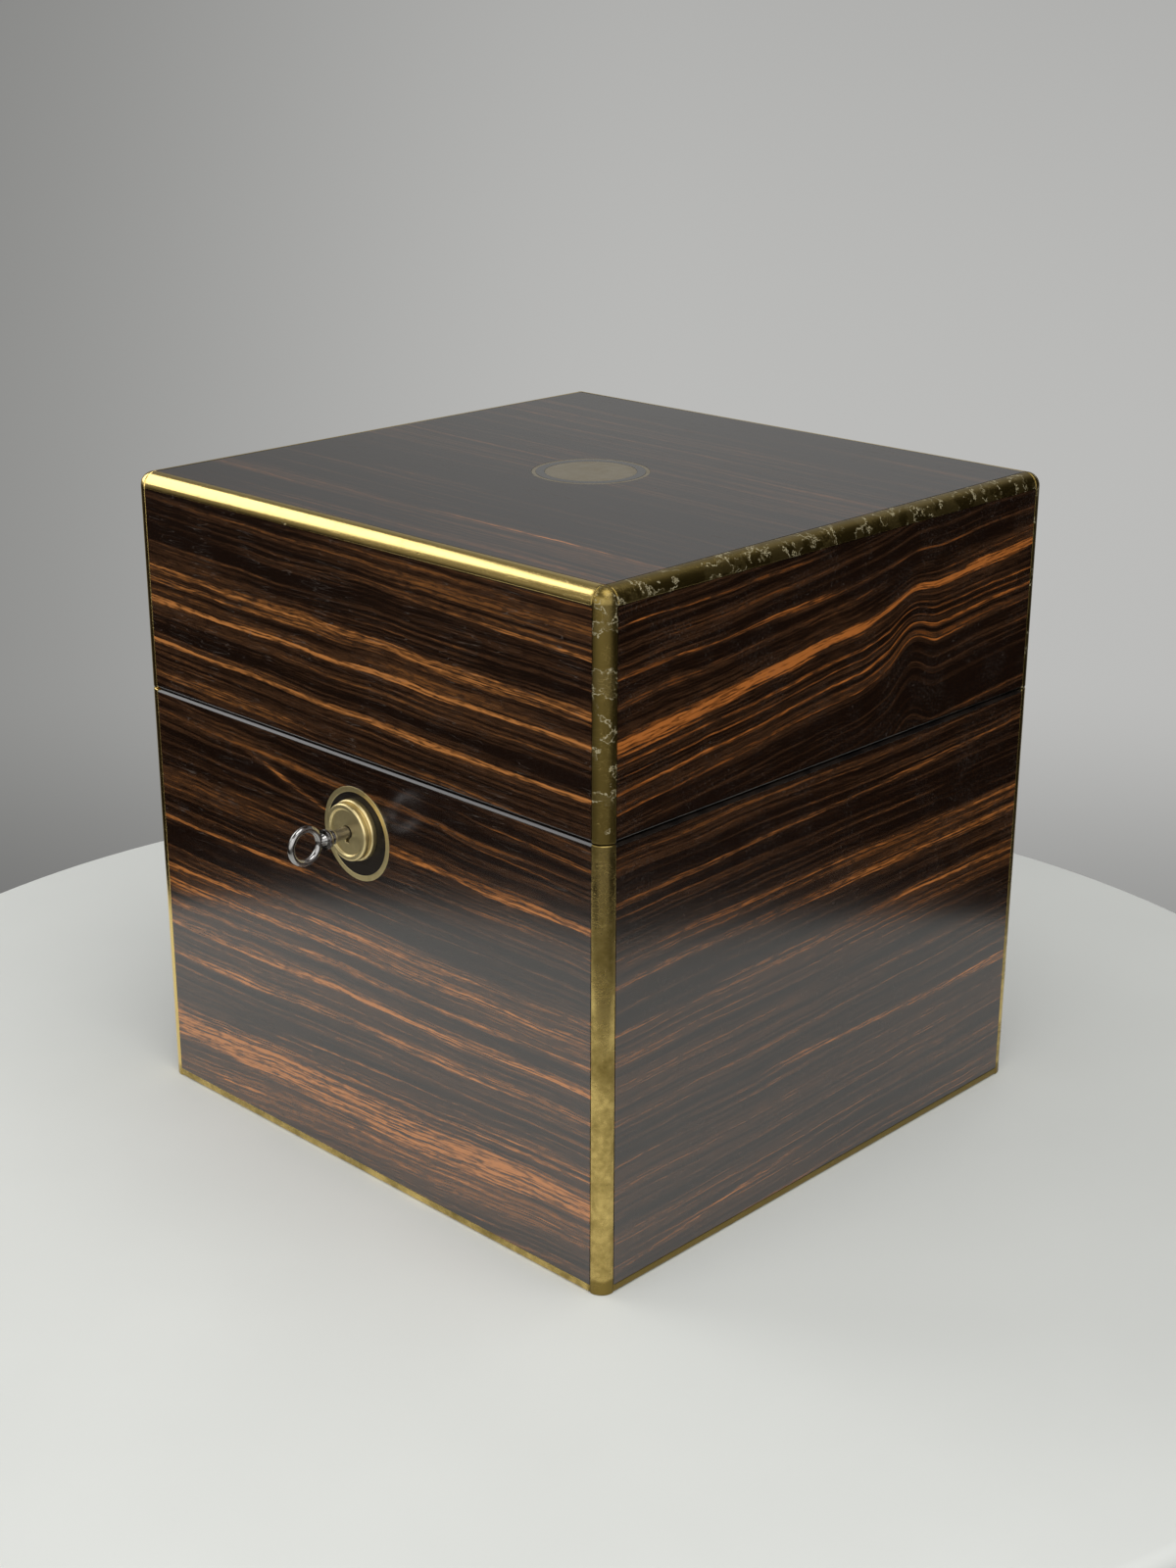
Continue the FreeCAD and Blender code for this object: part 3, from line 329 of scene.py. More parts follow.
@built_once
def swaying_grain():
    """Grain coordinates that wander across the leaf, with a kink where a knot lay near."""
    web, given, out = effect(
        "swaying_grain",
        floats("Along", "Across", "Seed", "Sway", "Kink at", "Kink rise", "Kink fades at"),
        floats("Across", "Swell"))
    along, across, seed = given["Along"], given["Across"], given["Seed"]
    steps = []
    # Each wander: waves a metre along and across, and its share of the sway.
    for waves_along, waves_across, amount in ((8, 14, 1.0), (34, 40, 0.30), (150, 210, 0.075)):
        spot = web.leaf_spot(along, across, waves_along, waves_across, seed)
        wander = web.minus(web.cloud(spot, detail=1.0), 0.5)
        steps.append(web.times(wander, web.times(given["Sway"], amount)))
    past = web.minus(along, given["Kink at"])
    rise = web.span(past, -0.030, 0.0, 0.0, 0.48)
    hump = web.times(web.span(web.math("ABSOLUTE", past), 0.014, 0.0), 0.50)
    near = web.span(web.minus(given["Kink fades at"], across), -0.004, 0.035, 0.2, 1.0)
    kink = web.times(web.plus(rise, hump), near, given["Kink rise"])
    web.feed(out["Across"], web.minus(web.plus(across, web.plus(*steps)), kink))
    swell = web.cloud(web.leaf_spot(along, across, 17, 55, seed))
    web.feed(out["Swell"], web.span(swell, 0.3, 0.7, 0.45, 1.25))
    return web.tree


@built_once
def one_streak():
    """One streak between its heights at the two ends of the leaf, with feathered edges."""
    web, given, out = effect(
        "one_streak",
        floats("Along", "Across", "Swell", "Left", "Right", "Half width", "Strength", "Start", "End"),
        floats("Mask"))
    run = web.math("MULTIPLY_ADD", given["Along"], 1 / ENDS_APART, 0.5)
    slope = web.minus(given["Right"], given["Left"])
    middle = web.math("MULTIPLY_ADD", run, slope, given["Left"])
    away = web.math("ABSOLUTE", web.minus(given["Across"], middle))
    spread = web.math("DIVIDE", away, web.times(given["Half width"], given["Swell"]))
    halo = web.times(web.span(spread, 4.2, 0.9), 0.30)
    body = web.most(web.span(spread, 1.35, 0.35), halo)
    begins = web.span(web.minus(given["Along"], given["Start"]), -FADE, FADE)
    ends = web.span(web.minus(given["End"], given["Along"]), -FADE, FADE)
    web.feed(out["Mask"], web.times(web.times(begins, ends), web.times(body, given["Strength"])))
    return web.tree


@built_once
def striped_wood():
    """Dark wood with brown bands, fine lines, orange streaks, short fibres and pores."""
    web, given, out = effect(
        "striped_wood",
        {**floats("Along", "Across", "Seed", "Lightness", "Streaks"),
         **colours("Ground", "Brown", "Streak", "Heart")},
        {**colours("Color"), **floats("Height")})

    def bands(waves_along, waves_across, step, detail):
        """A pattern with so many waves a metre along and across the leaf."""
        seed = web.plus(given["Seed"], step)
        spot = web.leaf_spot(given["Along"], given["Across"], waves_along, waves_across, seed)
        return web.cloud(spot, detail=detail)

    def weighed(*pairs):
        """The sum of patterns about their middle, each by its weight."""
        return web.plus(*[web.times(web.minus(value, 0.5), weight) for value, weight in pairs])

    broad = bands(1.6, 42, 3.0, 1.0)
    middle = bands(3.0, 170, 11.0, 2.0)
    lines = bands(8.0, 620, 17.0, 3.0)
    hairs = bands(14.0, 1500, 23.0, 1.0)
    fibres = bands(130, 1500, 31.0, 2.0)
    pores = web.span(bands(260, 1250, 41.0, 0.0), 0.54, 0.68)
    tone = web.plus(weighed((broad, 0.75), (middle, 0.95), (lines, 1.45)), given["Lightness"])
    base = web.span(tone, -0.24, 0.52, 0.0, 0.61)
    broken = web.plus(1.0, weighed((lines, 1.1), (fibres, 0.8), (hairs, 1.0)))
    figure = web.most(base, web.times(given["Streaks"], broken))
    grained = web.times(weighed((hairs, 0.9), (fibres, 0.7)), web.plus(0.35, figure))
    pitted = web.times(pores, web.times(figure, 0.24))
    light = web.minus(web.plus(figure, grained), pitted)
    tint = web.mix(web.span(light, 0.02, 0.44), given["Ground"], given["Brown"])
    tint = web.mix(web.span(light, 0.36, 0.74), tint, given["Streak"])
    web.feed(out["Color"], web.mix(web.span(light, 0.66, 1.12), tint, given["Heart"]))
    web.feed(out["Height"], lines)
    return web.tree


@built_once
def fine_scratches():
    """Hairline scratches that run several ways, as a mask."""
    web, given, out = effect(
        "fine_scratches", {"Vector": "Vector", **floats("Closeness")}, floats("Mask"))
    cuts = []
    # Each set of scratches: its turn, and waves a metre along and across the lines.
    for turn, waves in (((0.3, 0.2, 0.5), (45, 900, 700)), ((1.1, 0.6, -0.4), (60, 1000, 800)),
                        ((-0.5, 1.3, 1.2), (38, 850, 950))):
        spot = web.stretch(given["Vector"], waves, turn)
        away = web.math("ABSOLUTE", web.minus(web.cloud(spot, detail=0.0), 0.5))
        line = web.span(away, 0.012, 0.002)
        patch = web.cloud(web.stretch(given["Vector"], (70, 70, 70), turn), detail=1.0)
        cuts.append(web.times(line, web.span(patch, 0.52, 0.62)))
    web.feed(out["Mask"], web.times(web.most(*cuts), given["Closeness"]))
    return web.tree


@built_once
def handled_metal():
    """Metal that has dulled in clouds, with pits, streaks of wiping and flakes of old lacquer."""
    web, given, out = effect(
        "handled_metal",
        {"Vector": "Vector", **colours("Bright", "Dull", "Dirt", "Flake"),
         **floats("Dulling", "Flaking", "Pitting", "Smooth", "Rough")},
        {**colours("Color"), **floats("Roughness", "Height", "Metal")})
    spot = given["Vector"]
    clouds = web.cloud(spot, 55, 4.0, 0.6)
    mottle = web.cloud(spot, 420, 3.0, 0.6)
    mood = web.plus(web.times(clouds, 0.7), web.times(mottle, 0.3))
    low = web.minus(0.92, given["Dulling"])
    # The dulling amount can carry painted shade, as on the right-hand edge strips.
    dulled = web.span(web.minus(mood, low), -0.26, 0.26)
    tint = web.mix(dulled, given["Bright"], given["Dull"])
    pits = web.times(web.span(web.cloud(spot, 1100, 2.0, 0.5), 0.66, 0.78), given["Pitting"])
    tint = web.mix(web.times(pits, 0.75), tint, given["Dirt"])
    patches = web.cloud(spot, 95, 6.0, 0.64)
    start = web.minus(0.80, web.times(given["Flaking"], 0.29))
    over = web.minus(patches, start)
    rim = web.span(web.math("ABSOLUTE", over), 0.012, 0.003)
    rim = web.times(rim, web.span(web.cloud(spot, 210, 2.0), 0.40, 0.52))
    flake = web.most(rim, web.span(over, 0.0, 0.012, 0.0, 0.07))
    flake = web.times(flake, web.span(given["Flaking"], 0.0, 0.2))
    web.feed(out["Color"], web.mix(flake, tint, given["Flake"]))
    wiping = web.cloud(web.stretch(spot, (900, 260, 900)), 1.0, 2.0)
    sheen = web.plus(web.times(dulled, 0.7), web.times(wiping, 0.3))
    rough = web.span(sheen, 0.1, 0.95, given["Smooth"], given["Rough"])
    web.feed(out["Roughness"], web.most(rough, web.times(flake, 0.62)))
    web.feed(out["Height"], web.minus(web.times(flake, 0.7), pits))
    web.feed(out["Metal"], web.minus(1.0, web.times(flake, 0.75)))
    return web.tree


@built_once
def plain_grain():
    """Straight-grained wood: long soft lines with short dark pores."""
    web, given, out = effect(
        "plain_grain", {"Vector": "Vector", **colours("Wood", "Line")},
        {**colours("Color"), **floats("Height", "Tone")})
    wander = web.cloud(web.stretch(given["Vector"], (6, 6, 10)), 1.0, 1.0)
    offset = web.point(0.0, web.times(wander, 0.010), web.times(wander, 0.012))
    bent = web.node("ShaderNodeVectorMath", given["Vector"], offset, operation="ADD").outputs[0]
    lines = web.cloud(web.stretch(bent, (7, 130, 130)), 1.0, 3.0)
    pores = web.cloud(web.stretch(bent, (90, 1700, 1700)), 1.0, 1.0)
    pit = web.span(pores, 0.60, 0.70)
    tint = web.mix(web.span(lines, 0.35, 0.65), given["Wood"], given["Line"])
    web.feed(out["Color"], web.mix(web.times(pit, 0.7), tint, given["Line"]))
    web.feed(out["Height"], web.minus(web.times(lines, 0.3), pit))
    web.feed(out["Tone"], lines)
    return web.tree


# Materials

BLACK = (0.0, 0.0, 0.0, 1.0)
# Depths of the finest relief, in metres, and how strongly polish and glass bend light.
GRAIN_DEPTH = 0.00002
PORE_DEPTH = 0.00006
PIT_DEPTH = 0.000015
TUFT_DEPTH = 0.00025
RIPPLE_DEPTH = 0.0002
POLISH_IOR = 1.95
GLASS_IOR = 1.54


def cleared(data):
    """The web of a material or a world, with no nodes left in it."""
    data.use_nodes = True
    data.node_tree.nodes.clear()
    return Web(data.node_tree)


def surface(name):
    """A fresh material: its web of nodes and its shader."""
    material = bpy.data.materials.new(name)
    web = cleared(material)
    shader = web.node("ShaderNodeBsdfPrincipled")
    web.node("ShaderNodeOutputMaterial", shader.outputs[0])
    return material, web, shader.inputs


def relief(web, height, depth, strength=1.0):
    """A normal from a height between 0 and 1 that stands for a depth in metres."""
    feeds = {"Strength": strength, "Distance": depth, "Height": height}
    return web.node("ShaderNodeBump", named=feeds).outputs[0]


def grouped(web, group, **feeds):
    """Place a node group: feeds are named as its inputs, with underscores for spaces."""
    item = web.node("ShaderNodeGroup", node_tree=group)
    web.feed_all(item.inputs, **feeds)
    return item.outputs


# Streaks of each leaf, in millimetres: height at its left and right ends, half width, strength and, for
# those that don't run the whole length, where along the leaf they start and end. The right leaves run
# from the near corner to the far one.
END = 130
LID_FRONT = [
    (186.0, 182.2, 1.4, 1.0), (170.8, 165.5, 1.3, 0.92), (197.2, 190.6, 2.3, 0.76),
    (193.2, 189.0, 1.6, 0.58), (217.0, 208.2, 1.5, 0.8, 20, END), (212.8, 212.2, 0.6, 0.46, -40, 25),
    (220.3, 219.4, 0.5, 0.36, -90, 15), (159.0, 156.8, 2.8, 0.54, -END, -20),
    (205.0, 198.6, 0.5, 0.36, 0, END), (201.0, 196.5, 0.6, 0.32, -60, 60),
    (178.4, 174.6, 0.5, 0.28, -END, 60), (224.5, 216.8, 0.5, 0.34, 30, END),
]
BASE_FRONT = [
    (152.4, 103.2, 1.2, 0.88, -54, -12), (105.6, 107.5, 1.2, 0.92, -END, -25),
    (107.0, 105.0, 0.7, 0.52, -30, 0), (128.5, 124.4, 2.6, 1.0, 15, END),
    (155.0, 143.8, 0.7, 0.56, 40, END), (147.5, 135.3, 0.7, 0.52, 30, END),
    (118.0, 116.0, 1.0, 0.52, 40, END), (86.2, 93.3, 1.4, 0.78), (79.8, 87.4, 2.2, 0.68),
    (72.2, 79.0, 1.8, 0.6), (64.0, 70.8, 2.6, 0.78), (51.4, 60.5, 3.0, 0.64),
    (36.0, 47.4, 1.1, 0.56, -40, END), (34.0, 44.2, 0.8, 0.56, -60, END),
    (32.0, 41.2, 0.8, 0.58, -60, END), (30.0, 38.4, 1.3, 0.62), (22.6, 27.4, 8.4, 0.86),
    (9.0, 13.0, 2.0, 0.74, -95, -45), (14.6, 16.2, 1.0, 0.6, -20, END), (9.5, 11.0, 0.8, 0.54, 0, END),
    (5.0, 5.2, 0.7, 0.5, 0, END), (57.5, 65.0, 0.8, 0.48), (101.0, 103.0, 0.6, 0.36, -20, END),
    (124.0, 112.0, 3.0, 0.3, -END, -40),
]
LID_RIGHT = [
    (182.6, 204.4, 2.9, 1.0), (202.8, 216.8, 0.9, 0.82, -END, 0), (202.8, 216.8, 0.7, 0.42, -5, END),
    (218.3, 230.0, 0.7, 0.62, -END, -15), (177.6, 194.0, 0.7, 0.62), (168.4, 187.6, 0.8, 0.7),
    (162.4, 182.0, 0.6, 0.62, -END, 70), (173.4, 191.0, 0.5, 0.52), (195.3, 212.0, 2.4, 0.34, -END, 20),
    (158.0, 163.0, 0.5, 0.3, -END, -30), (188.0, 209.0, 0.6, 0.4, -60, END),
]
BASE_RIGHT = [
    (132.0, 142.2, 1.2, 0.52), (133.6, 140.6, 0.8, 0.4, -50, 40), (123.6, 130.6, 0.7, 0.38, -85, 60),
    (114.5, 117.6, 0.8, 0.66), (106.6, 109.0, 2.4, 0.62), (90.3, 94.0, 0.9, 0.72, -END, -75),
    (91.4, 94.2, 0.8, 0.5, -60, 40), (93.0, 93.5, 1.3, 0.82, 30, END),
    (82.0, 86.0, 0.8, 0.34, -END, 30), (53.0, 49.6, 2.0, 0.6, -30, END),
    (45.0, 42.0, 1.8, 0.44, 10, END), (36.0, 36.5, 1.5, 0.42, 25, END), (26.0, 28.6, 1.5, 0.44, 35, 80),
    (31.0, 29.6, 1.0, 0.36, -END, 0), (16.7, 19.0, 1.1, 0.58, -END, -75),
    (7.2, 27.0, 1.3, 0.58, -END, -5), (98.0, 101.0, 0.5, 0.34, -END, 20), (67.0, 66.0, 0.5, 0.28),
    (74.0, 76.0, 0.5, 0.26, -END, 40),
]
TOP = [
    (-70.5, -80.6, 0.9, 0.72, 0, END), (-44.0, -47.0, 1.2, 0.32, -60, 0),
    (-85.0, -92.0, 0.7, 0.34, 20, END), (-10.0, -14.0, 0.8, 0.36, 20, END),
    (-52.0, -58.0, 0.8, 0.28, 30, END), (62.0, 58.0, 2.0, 0.24), (30.0, 27.0, 1.0, 0.22, -40, END),
]

# Each figure of a leaf: the axis that its grain runs along, its streaks, how light its ground is below
# and above the middle of the base, how red its streaks are, and how its fine grain leans: its rise along
# the leaf at the bottom of the box, and how much that changes for each metre up.
FIGURES = {
    "lid_front": (0, LID_FRONT, (0.06, 0.06), 0.0, (-0.03, 0.0)),
    "base_front": (0, BASE_FRONT, (0.18, 0.03), 0.4, (0.076, -0.8)),
    "lid_right": (1, LID_RIGHT, (-0.06, -0.06), 1.4, (0.09, 0.0)),
    "base_right": (1, BASE_RIGHT, (0.06, 0.06), 0.7, (0.02, 0.0)),
    "lid_top": (0, TOP, (-0.08, -0.08), 0.4, (-0.04, 0.0)),
}
# Each leaf: its figure, which way that runs, and its seed. Leaves that face away are turned over from
# their opposite ones.
LEAVES = {
    "lid_front_veneer": ("lid_front", 1.0, 2.0),
    "lid_back_veneer": ("lid_front", -1.0, 12.4),
    "base_front_veneer": ("base_front", 1.0, 4.6),
    "base_back_veneer": ("base_front", -1.0, 14.8),
    "lid_right_veneer": ("lid_right", 1.0, 6.2),
    "lid_left_veneer": ("lid_right", -1.0, 16.6),
    "base_right_veneer": ("base_right", 1.0, 8.0),
    "base_left_veneer": ("base_right", -1.0, 18.2),
    "lid_top_veneer": ("lid_top", 1.0, 10.7),
}
# What one step of redness takes from a streak's red, green and blue.
REDDENING = Vector((0.0, 0.13, 0.28))
# Heights between which the ground of the base changes, and the kink in the right of the lid, in metres.
MIDDLE_OF_BASE = (0.090, 0.114)
KINK_AT = 0.0375
KINK_RISE = 0.011
KINK_FADES_AT = 0.212


def veneer(node):
    """French-polished striped veneer for one leaf."""
    look = settings().veneer
    figure, way, seed = LEAVES[node]
    axis, streaks, lightness, redness, (lean, lean_change) = FIGURES[figure]
    redder = Vector((1.0, 1.0, 1.0)) - REDDENING * redness
    material, web, shader = surface(node)
    place = web.place()
    parts = web.node("ShaderNodeSeparateXYZ", place).outputs
    along = web.times(parts[axis], way)
    across = parts[1] if figure == "lid_top" else parts[2]
    kink_rise = KINK_RISE if figure == "lid_right" else 0.0
    sway = grouped(web, swaying_grain(), Along=along, Across=across, Seed=seed, Sway=look.sway,
                   Kink_at=KINK_AT, Kink_rise=kink_rise, Kink_fades_at=KINK_FADES_AT)
    masks = []
    for left, right, half, strength, *run in streaks:
        start, end = run or (-END, END)
        streak = grouped(web, one_streak(), Along=along, Across=sway["Across"], Swell=sway["Swell"],
                         Left=left * MM, Right=right * MM, Half_width=half * MM, Strength=strength,
                         Start=start * MM, End=end * MM)
        masks.append(streak["Mask"])
    rise = web.times(along, web.math("MULTIPLY_ADD", across, lean_change, lean))
    leaning = web.minus(sway["Across"], rise)
    ground_light = web.span(across, *MIDDLE_OF_BASE, *lightness)
    wood = grouped(web, striped_wood(), Along=along, Across=leaning, Seed=seed, Streaks=web.most(*masks),
                   Lightness=ground_light, Ground=rgba(look.ground), Brown=rgba(look.brown),
                   Streak=rgba(Vector(look.streak) * redder), Heart=rgba(Vector(look.heart) * redder))
    scratches = grouped(web, fine_scratches(), Vector=place, Closeness=0.8)["Mask"]
    haze = web.cloud(place, 26, 3.0)
    # Painted highlight: the polish is lightened along its scratches, as though they caught the light.
    glint_lit = web.mix(web.times(scratches, 0.5), wood["Color"], rgba(look.scuff))
    web.feed_all(shader, Base_Color=glint_lit, Roughness=web.span(haze, 0.3, 0.7, 0.36, 0.50),
                 Normal=relief(web, wood["Height"], GRAIN_DEPTH, 0.3),
                 Coat_Weight=web.span(scratches, 0.0, 1.0, 1.0, 0.6), Coat_Roughness=look.polish,
                 Coat_IOR=POLISH_IOR, Specular_IOR_Level=0.0)
    return material


def metal_finish(name, bright, dull, dulling, flaking, pitting, smooth, rough):
    """A handled metal: how far it has dulled, flaked and pitted, and its smoothest and roughest.

    Dulling, flaking and pitting may be functions that work a value out from the web and the place."""
    material, web, shader = surface(name)
    place = web.place()
    parts = web.node("ShaderNodeSeparateXYZ", place).outputs
    worn = [value(web, parts) if callable(value) else value for value in (dulling, flaking, pitting)]
    shared = settings().brass
    metal = grouped(web, handled_metal(), Vector=place, Bright=rgba(bright), Dull=rgba(dull),
                    Dirt=rgba(shared.dirt), Flake=rgba(shared.flake), Dulling=worn[0], Flaking=worn[1],
                    Pitting=worn[2], Smooth=smooth, Rough=rough)
    scratches = grouped(web, fine_scratches(), Vector=place, Closeness=1.0)["Mask"]
    rubbed = web.mix(web.times(scratches, 0.3), metal["Color"], rgba(bright))
    height = web.minus(metal["Height"], web.times(scratches, 0.3))
    web.feed_all(shader, Base_Color=rubbed, Metallic=metal["Metal"],
                 Roughness=web.math("MULTIPLY_ADD", scratches, 0.1, metal["Roughness"]),
                 Normal=relief(web, height, PIT_DEPTH))
    return material


def lock_brass(name, dulling, flaking, pitting, smooth, rough):
    """The paler brass of the lock and the hinges."""
    look = settings().brass
    return metal_finish(name, look.lock, look.lock_dull, dulling, flaking, pitting, smooth, rough)


# Places over which a finish changes, in metres: the inner edge of the right-hand strips, the seam, the
# top of the bottom strips, and the inner end of the key's bow.
RIGHT_STRIPS = (0.1045, 0.1075)
SEAM = (0.1515, 0.1535)
FOOT = (0.006, 0.003)
BOW_END = (-0.1203, -0.1193)


def on_right(web, parts):
    """Mask of the strips on the right-hand edges."""
    return web.span(parts[0], *RIGHT_STRIPS)


def on_lid(web, parts):
    """Mask of all that lies above the seam."""
    return web.span(parts[2], *SEAM)


def strip_dulling(web, parts):
    """Dulling of the strips, with painted shade: the right-hand strips are darkened towards olive, those
    of the lid most, standing for the dark side of the room that they mirror; the bottom strips are duller
    too.
    """
    # Painted shade on the right-hand strips, more on the lid.
    olive = web.math("MULTIPLY_ADD", on_lid(web, parts), 0.31, 0.34)
    foot = web.span(parts[2], *FOOT, 0.12, 0.44)
    return web.math("MULTIPLY_ADD", on_right(web, parts), olive, foot)


def strip_flaking(web, parts):
    """Old lacquer has lifted mostly from the right-hand strips of the lid."""
    right = web.times(on_right(web, parts), on_lid(web, parts))
    return web.math("MULTIPLY_ADD", right, 0.74, 0.22)


def shaft_dulling(web, parts):
    """The key's shaft, from its collars inwards, has gone grey; its bow is still bright."""
    return web.span(parts[1], *BOW_END, 0.34, 0.95)


def steel(name, dulling, smooth, rough):
    look = settings().steel
    return metal_finish(name, look.bright, look.dull, dulling, 0.0, 0.2, smooth, rough)


def plain_wood(name, wood, line, smooth, rough, coat, turn=(0, 0, 0), gloss=0.5):
    """Straight-grained wood whose grain runs along X before it is turned."""
    material, web, shader = surface(name)
    place = web.stretch(web.place(), (1, 1, 1), turn)
    grain = grouped(web, plain_grain(), Vector=place, Wood=rgba(wood), Line=rgba(line))
    # Polish fills the pores.
    pore_depth = PORE_DEPTH * (1.0 - coat) ** 2
    web.feed_all(shader, Base_Color=grain["Color"],
                 Roughness=web.span(grain["Tone"], 0.3, 0.7, smooth, rough),
                 Normal=relief(web, grain["Height"], pore_depth, 0.6), Coat_Weight=coat,
                 Coat_Roughness=0.12, Specular_IOR_Level=gloss)
    return material


def velvet():
    """Short-piled velvet that has been brushed and crushed in patches."""
    look = settings().velvet
    material, web, shader = surface("velvet")
    place = web.place()
    brushed = web.cloud(web.stretch(place, (38, 30, 24)), 1.0, 3.0, 0.55)
    tufts = web.cloud(place, 2600, 1.0)
    lie = web.plus(web.times(brushed, 0.75), web.times(tufts, 0.25))
    tint = web.mix(web.span(lie, 0.24, 0.66), rgba(look.crushed), rgba(look.pile))
    web.feed_all(shader, Base_Color=tint, Roughness=web.span(tufts, 0.3, 0.7, 0.78, 0.95),
                 Normal=relief(web, tufts, TUFT_DEPTH, 0.8), Sheen_Weight=0.75, Sheen_Roughness=0.35,
                 Sheen_Tint=rgba(look.fuzz), Specular_IOR_Level=0.15)
    return material


def glass():
    """Hand-finished lead glass, with faint ripples and the marks of handling."""
    look = settings().glass
    material, web, shader = surface("lead_glass")
    place = web.place()
    ripples = web.cloud(web.stretch(place, (60, 60, 35)), 1.0, 1.0)
    smears = web.span(web.cloud(place, 45, 4.0, 0.6), 0.55, 0.8, 0.0, 0.06)
    web.feed_all(shader, Base_Color=rgba(look.tint), Roughness=smears,
                 Normal=relief(web, ripples, RIPPLE_DEPTH, 0.25), Transmission_Weight=1.0, IOR=GLASS_IOR)
    return material


def pale_floor():
    """Plain pale floor with the faintest unevenness."""
    material, web, shader = surface("pale_floor")
    tone = web.cloud(web.place(), 9, 3.0)
    shade = web.span(tone, 0.3, 0.7, 0.97, 1.0)
    tint = web.mix(shade, BLACK, rgba(settings().stage.floor))
    web.feed_all(shader, Base_Color=tint, Roughness=0.55)
    return material


# Pieces

def linked(name, data):
    """An object at the origin that holds a mesh, a lamp or a lens."""
    item = bpy.data.objects.new(name, data)
    bpy.context.scene.collection.objects.link(item)
    return item


def settled(item):
    """Turn an object with modifiers into one with a plain mesh."""
    bpy.context.view_layer.update()
    graph = bpy.context.evaluated_depsgraph_get()
    mesh = bpy.data.meshes.new_from_object(item.evaluated_get(graph), preserve_all_data_layers=True,
                                           depsgraph=graph)
    rough = item.data
    item.modifiers.clear()
    item.data = mesh
    bpy.data.meshes.remove(rough)
    mesh.name = item.name
    return item


def stand_in(item, material, *nodes):
    """Let a finished piece stand for CAD nodes: same body, and its own material."""
    item.data.materials.clear()
    item.data.materials.append(material)
    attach(item, BODY_OF[nodes[0]])
    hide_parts(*nodes)
    return item


def merged(node):
    """A copy of a node's mesh with its triangles joined up again."""
    shape = bmesh.new()
    shape.from_mesh(frame["nodes"][node].data)
    bmesh.ops.remove_doubles(shape, verts=shape.verts, dist=MERGE)
    bmesh.ops.dissolve_limit(shape, angle_limit=LEVEL, verts=shape.verts, edges=shape.edges)
    return shape


def meshed(shape, name):
    """Put a shape in a new mesh with smooth faces."""
    mesh = bpy.data.meshes.new(name)
    shape.to_mesh(mesh)
    shape.free()
    mesh.shade_smooth()
    return mesh


def eased(node, ease):
    """A piece like a CAD node, with its sharp edges a little rounded."""
    item = linked(node + ".eased", meshed(merged(node), node + ".rough"))
    bevel = item.modifiers.new("ease", "BEVEL")
    bevel.width = ease
    bevel.segments = 2
    bevel.limit_method = "ANGLE"
    bevel.angle_limit = SHARP
    weigh = item.modifiers.new("weigh", "WEIGHTED_NORMAL")
    weigh.keep_sharp = True
    return settled(item)


def eased_stand_ins(material, ease, *nodes):
    """Eased pieces of one material, each in place of its node."""
    for node in nodes:
        stand_in(eased(node, ease), material, node)


def recoat(material, *nodes):
    """Give CAD nodes whose shape is right their finish."""
    for node in nodes:
        frame["nodes"][node].material_slots[0].material = material


# Edges of a card longer than this are cut up, and the cloth has so many dips a metre.
LONG_EDGE = 0.020
DIPS = 90


def velvet_cards(node, material):
    """Lining cards with the velvet turned over their edges, a little uneven."""
    look = settings().velvet
    item = eased(node, look.fold)
    shape = bmesh.new()
    shape.from_mesh(item.data)
    long_edges = [edge for edge in shape.edges if edge.calc_length() > LONG_EDGE]
    bmesh.ops.subdivide_edges(shape, edges=long_edges, cuts=look.cuts, use_grid_fill=True)
    shape.normal_update()
    middle = (Vector(CAD_BOX[0]) + Vector(CAD_BOX[1])) / 2
    for vert in shape.verts:
        if vert.normal.dot(middle - vert.co) > 0:
            dip = 0.5 + 0.5 * noise.noise(vert.co * DIPS)
            vert.co -= vert.normal * (look.unevenness * dip)
    rough = item.data
    item.data = meshed(shape, item.name)
    bpy.data.meshes.remove(rough)
    return stand_in(item, material, node)


# The share of a shank's radius that is left at its point.
POINT = 0.35


